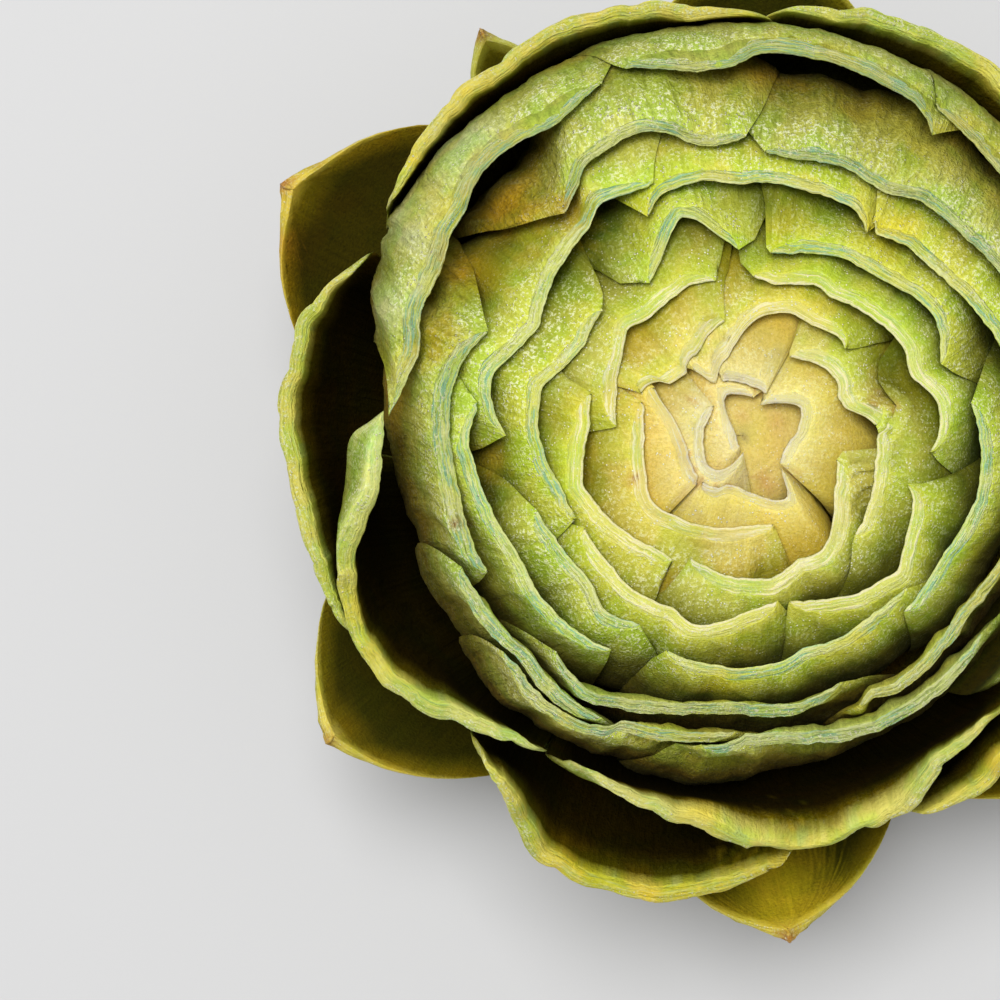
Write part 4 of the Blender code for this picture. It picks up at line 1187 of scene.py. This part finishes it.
class ARTICHOKE_OT_side(BractGroup, Operator):
    """Stand the broad whole blades against the side of the head"""
    bl_idname = "artichoke.side"
    bl_label = "Side bracts"
    group = "side"


class ARTICHOKE_OT_lower(BractGroup, Operator):
    """Spread the pointed whole blades of the lowest ring"""
    bl_idname = "artichoke.lower"
    bl_label = "Lower bracts"
    group = "lower"


class ARTICHOKE_OT_heart(Operator):
    """Turn the stem and the heart"""
    bl_idname = "artichoke.heart"
    bl_label = "Stem and heart"
    bl_options = {"REGISTER", "UNDO"}

    def execute(self, context):
        piece = grid_object("stem_and_heart_turned", heart_points())[0]
        close_and_smooth(piece)
        material = stem_material(context.scene.artichoke_colours)
        hang(piece, material, "stem_and_heart")
        return {"FINISHED"}


class ARTICHOKE_OT_stage(Operator):
    """Lay the table and set the light and the camera"""
    bl_idname = "artichoke.stage"
    bl_label = "Stage"
    bl_options = {"REGISTER", "UNDO"}

    def execute(self, context):
        scene = context.scene
        settings = scene.artichoke_stage
        bpy.ops.mesh.primitive_plane_add(size=3.0, location=(0, 0, 0))
        floor = context.object
        floor.name = "table_top"
        floor.data.materials.append(paper_material(settings.paper))
        set_light(scene, settings)
        bpy.ops.object.camera_add(location=settings.camera_place, rotation=(0, 0, 0))
        camera = context.object
        camera.data.lens = settings.lens
        camera.data.sensor_width = 36.0
        camera.data.clip_start = 0.01
        scene.camera = camera
        scene.view_settings.view_transform = "Standard"
        return {"FINISHED"}


def paper_material(tone):
    """Matt white paper with a faint tooth."""
    graph = Graph("table_paper")
    place = graph.add("TexCoord").outputs["Object"]
    tooth = graph.noise(place, 900.0, 3.0, 0.6)
    bump = graph.add("Bump", Strength=0.06, Distance=0.0002, Height=tooth)
    graph.feed(graph.shader.inputs["Normal"], bump.outputs["Normal"])
    graph.shader.inputs["Base Color"].default_value = rgba(tone)
    graph.shader.inputs["Roughness"].default_value = 0.7
    return graph.material


def set_light(scene, settings):
    """Even light from all sides and a softbox that faces the table."""
    world = bpy.data.worlds.new("studio_air")
    world.use_nodes = True
    background = world.node_tree.nodes["Background"].inputs
    background["Color"].default_value = (1.0, 1.0, 1.0, 1.0)
    background["Strength"].default_value = settings.air
    scene.world = world
    place = Vector(settings.lamp_place)
    turn = (-place).to_track_quat("-Z", "Y").to_euler()
    bpy.ops.object.light_add(type="AREA", location=place, rotation=turn)
    lamp = bpy.context.object
    lamp.name = "softbox"
    lamp.data.shape = "RECTANGLE"
    lamp.data.size = settings.lamp_width
    lamp.data.size_y = settings.lamp_height
    lamp.data.energy = settings.lamp_power


OPERATORS = (ARTICHOKE_OT_core, ARTICHOKE_OT_inner, ARTICHOKE_OT_middle, ARTICHOKE_OT_crown,
             ARTICHOKE_OT_side, ARTICHOKE_OT_lower, ARTICHOKE_OT_heart, ARTICHOKE_OT_stage)
# heading in the panel, name on the scene and class of each group of settings
SETTINGS = (("Sizes", "artichoke_sizes", ARTICHOKE_PG_sizes),
            ("Colours", "artichoke_colours", ARTICHOKE_PG_colours),
            ("Stage", "artichoke_stage", ARTICHOKE_PG_stage))


class ARTICHOKE_PT_build(Panel):
    """The settings and the steps of the build, in order"""
    bl_idname = "ARTICHOKE_PT_build"
    bl_label = "Globe Artichoke"
    bl_space_type = "VIEW_3D"
    bl_region_type = "UI"
    bl_category = "Artichoke"

    def draw(self, context):
        for heading, name, group in SETTINGS:
            box = self.layout.box()
            box.label(text=heading)
            for setting in group.__annotations__:
                box.prop(getattr(context.scene, name), setting)
        for operator in OPERATORS:
            self.layout.operator(operator.bl_idname)


CLASSES = (*(group for heading, name, group in SETTINGS), *OPERATORS, ARTICHOKE_PT_build)


def register():
    for item in CLASSES:
        bpy.utils.register_class(item)
    for heading, name, group in SETTINGS:
        setattr(bpy.types.Scene, name, PointerProperty(type=group, name=heading))


def unregister():
    for heading, name, group in SETTINGS:
        delattr(bpy.types.Scene, name)
    for item in reversed(CLASSES):
        bpy.utils.unregister_class(item)


def main():
    register()
    bpy.ops.artichoke.core()
    bpy.ops.artichoke.inner()
    bpy.ops.artichoke.middle()
    bpy.ops.artichoke.crown()
    bpy.ops.artichoke.side()
    bpy.ops.artichoke.lower()
    bpy.ops.artichoke.heart()
    bpy.ops.artichoke.stage()


if __name__ == "__main__":
    main()
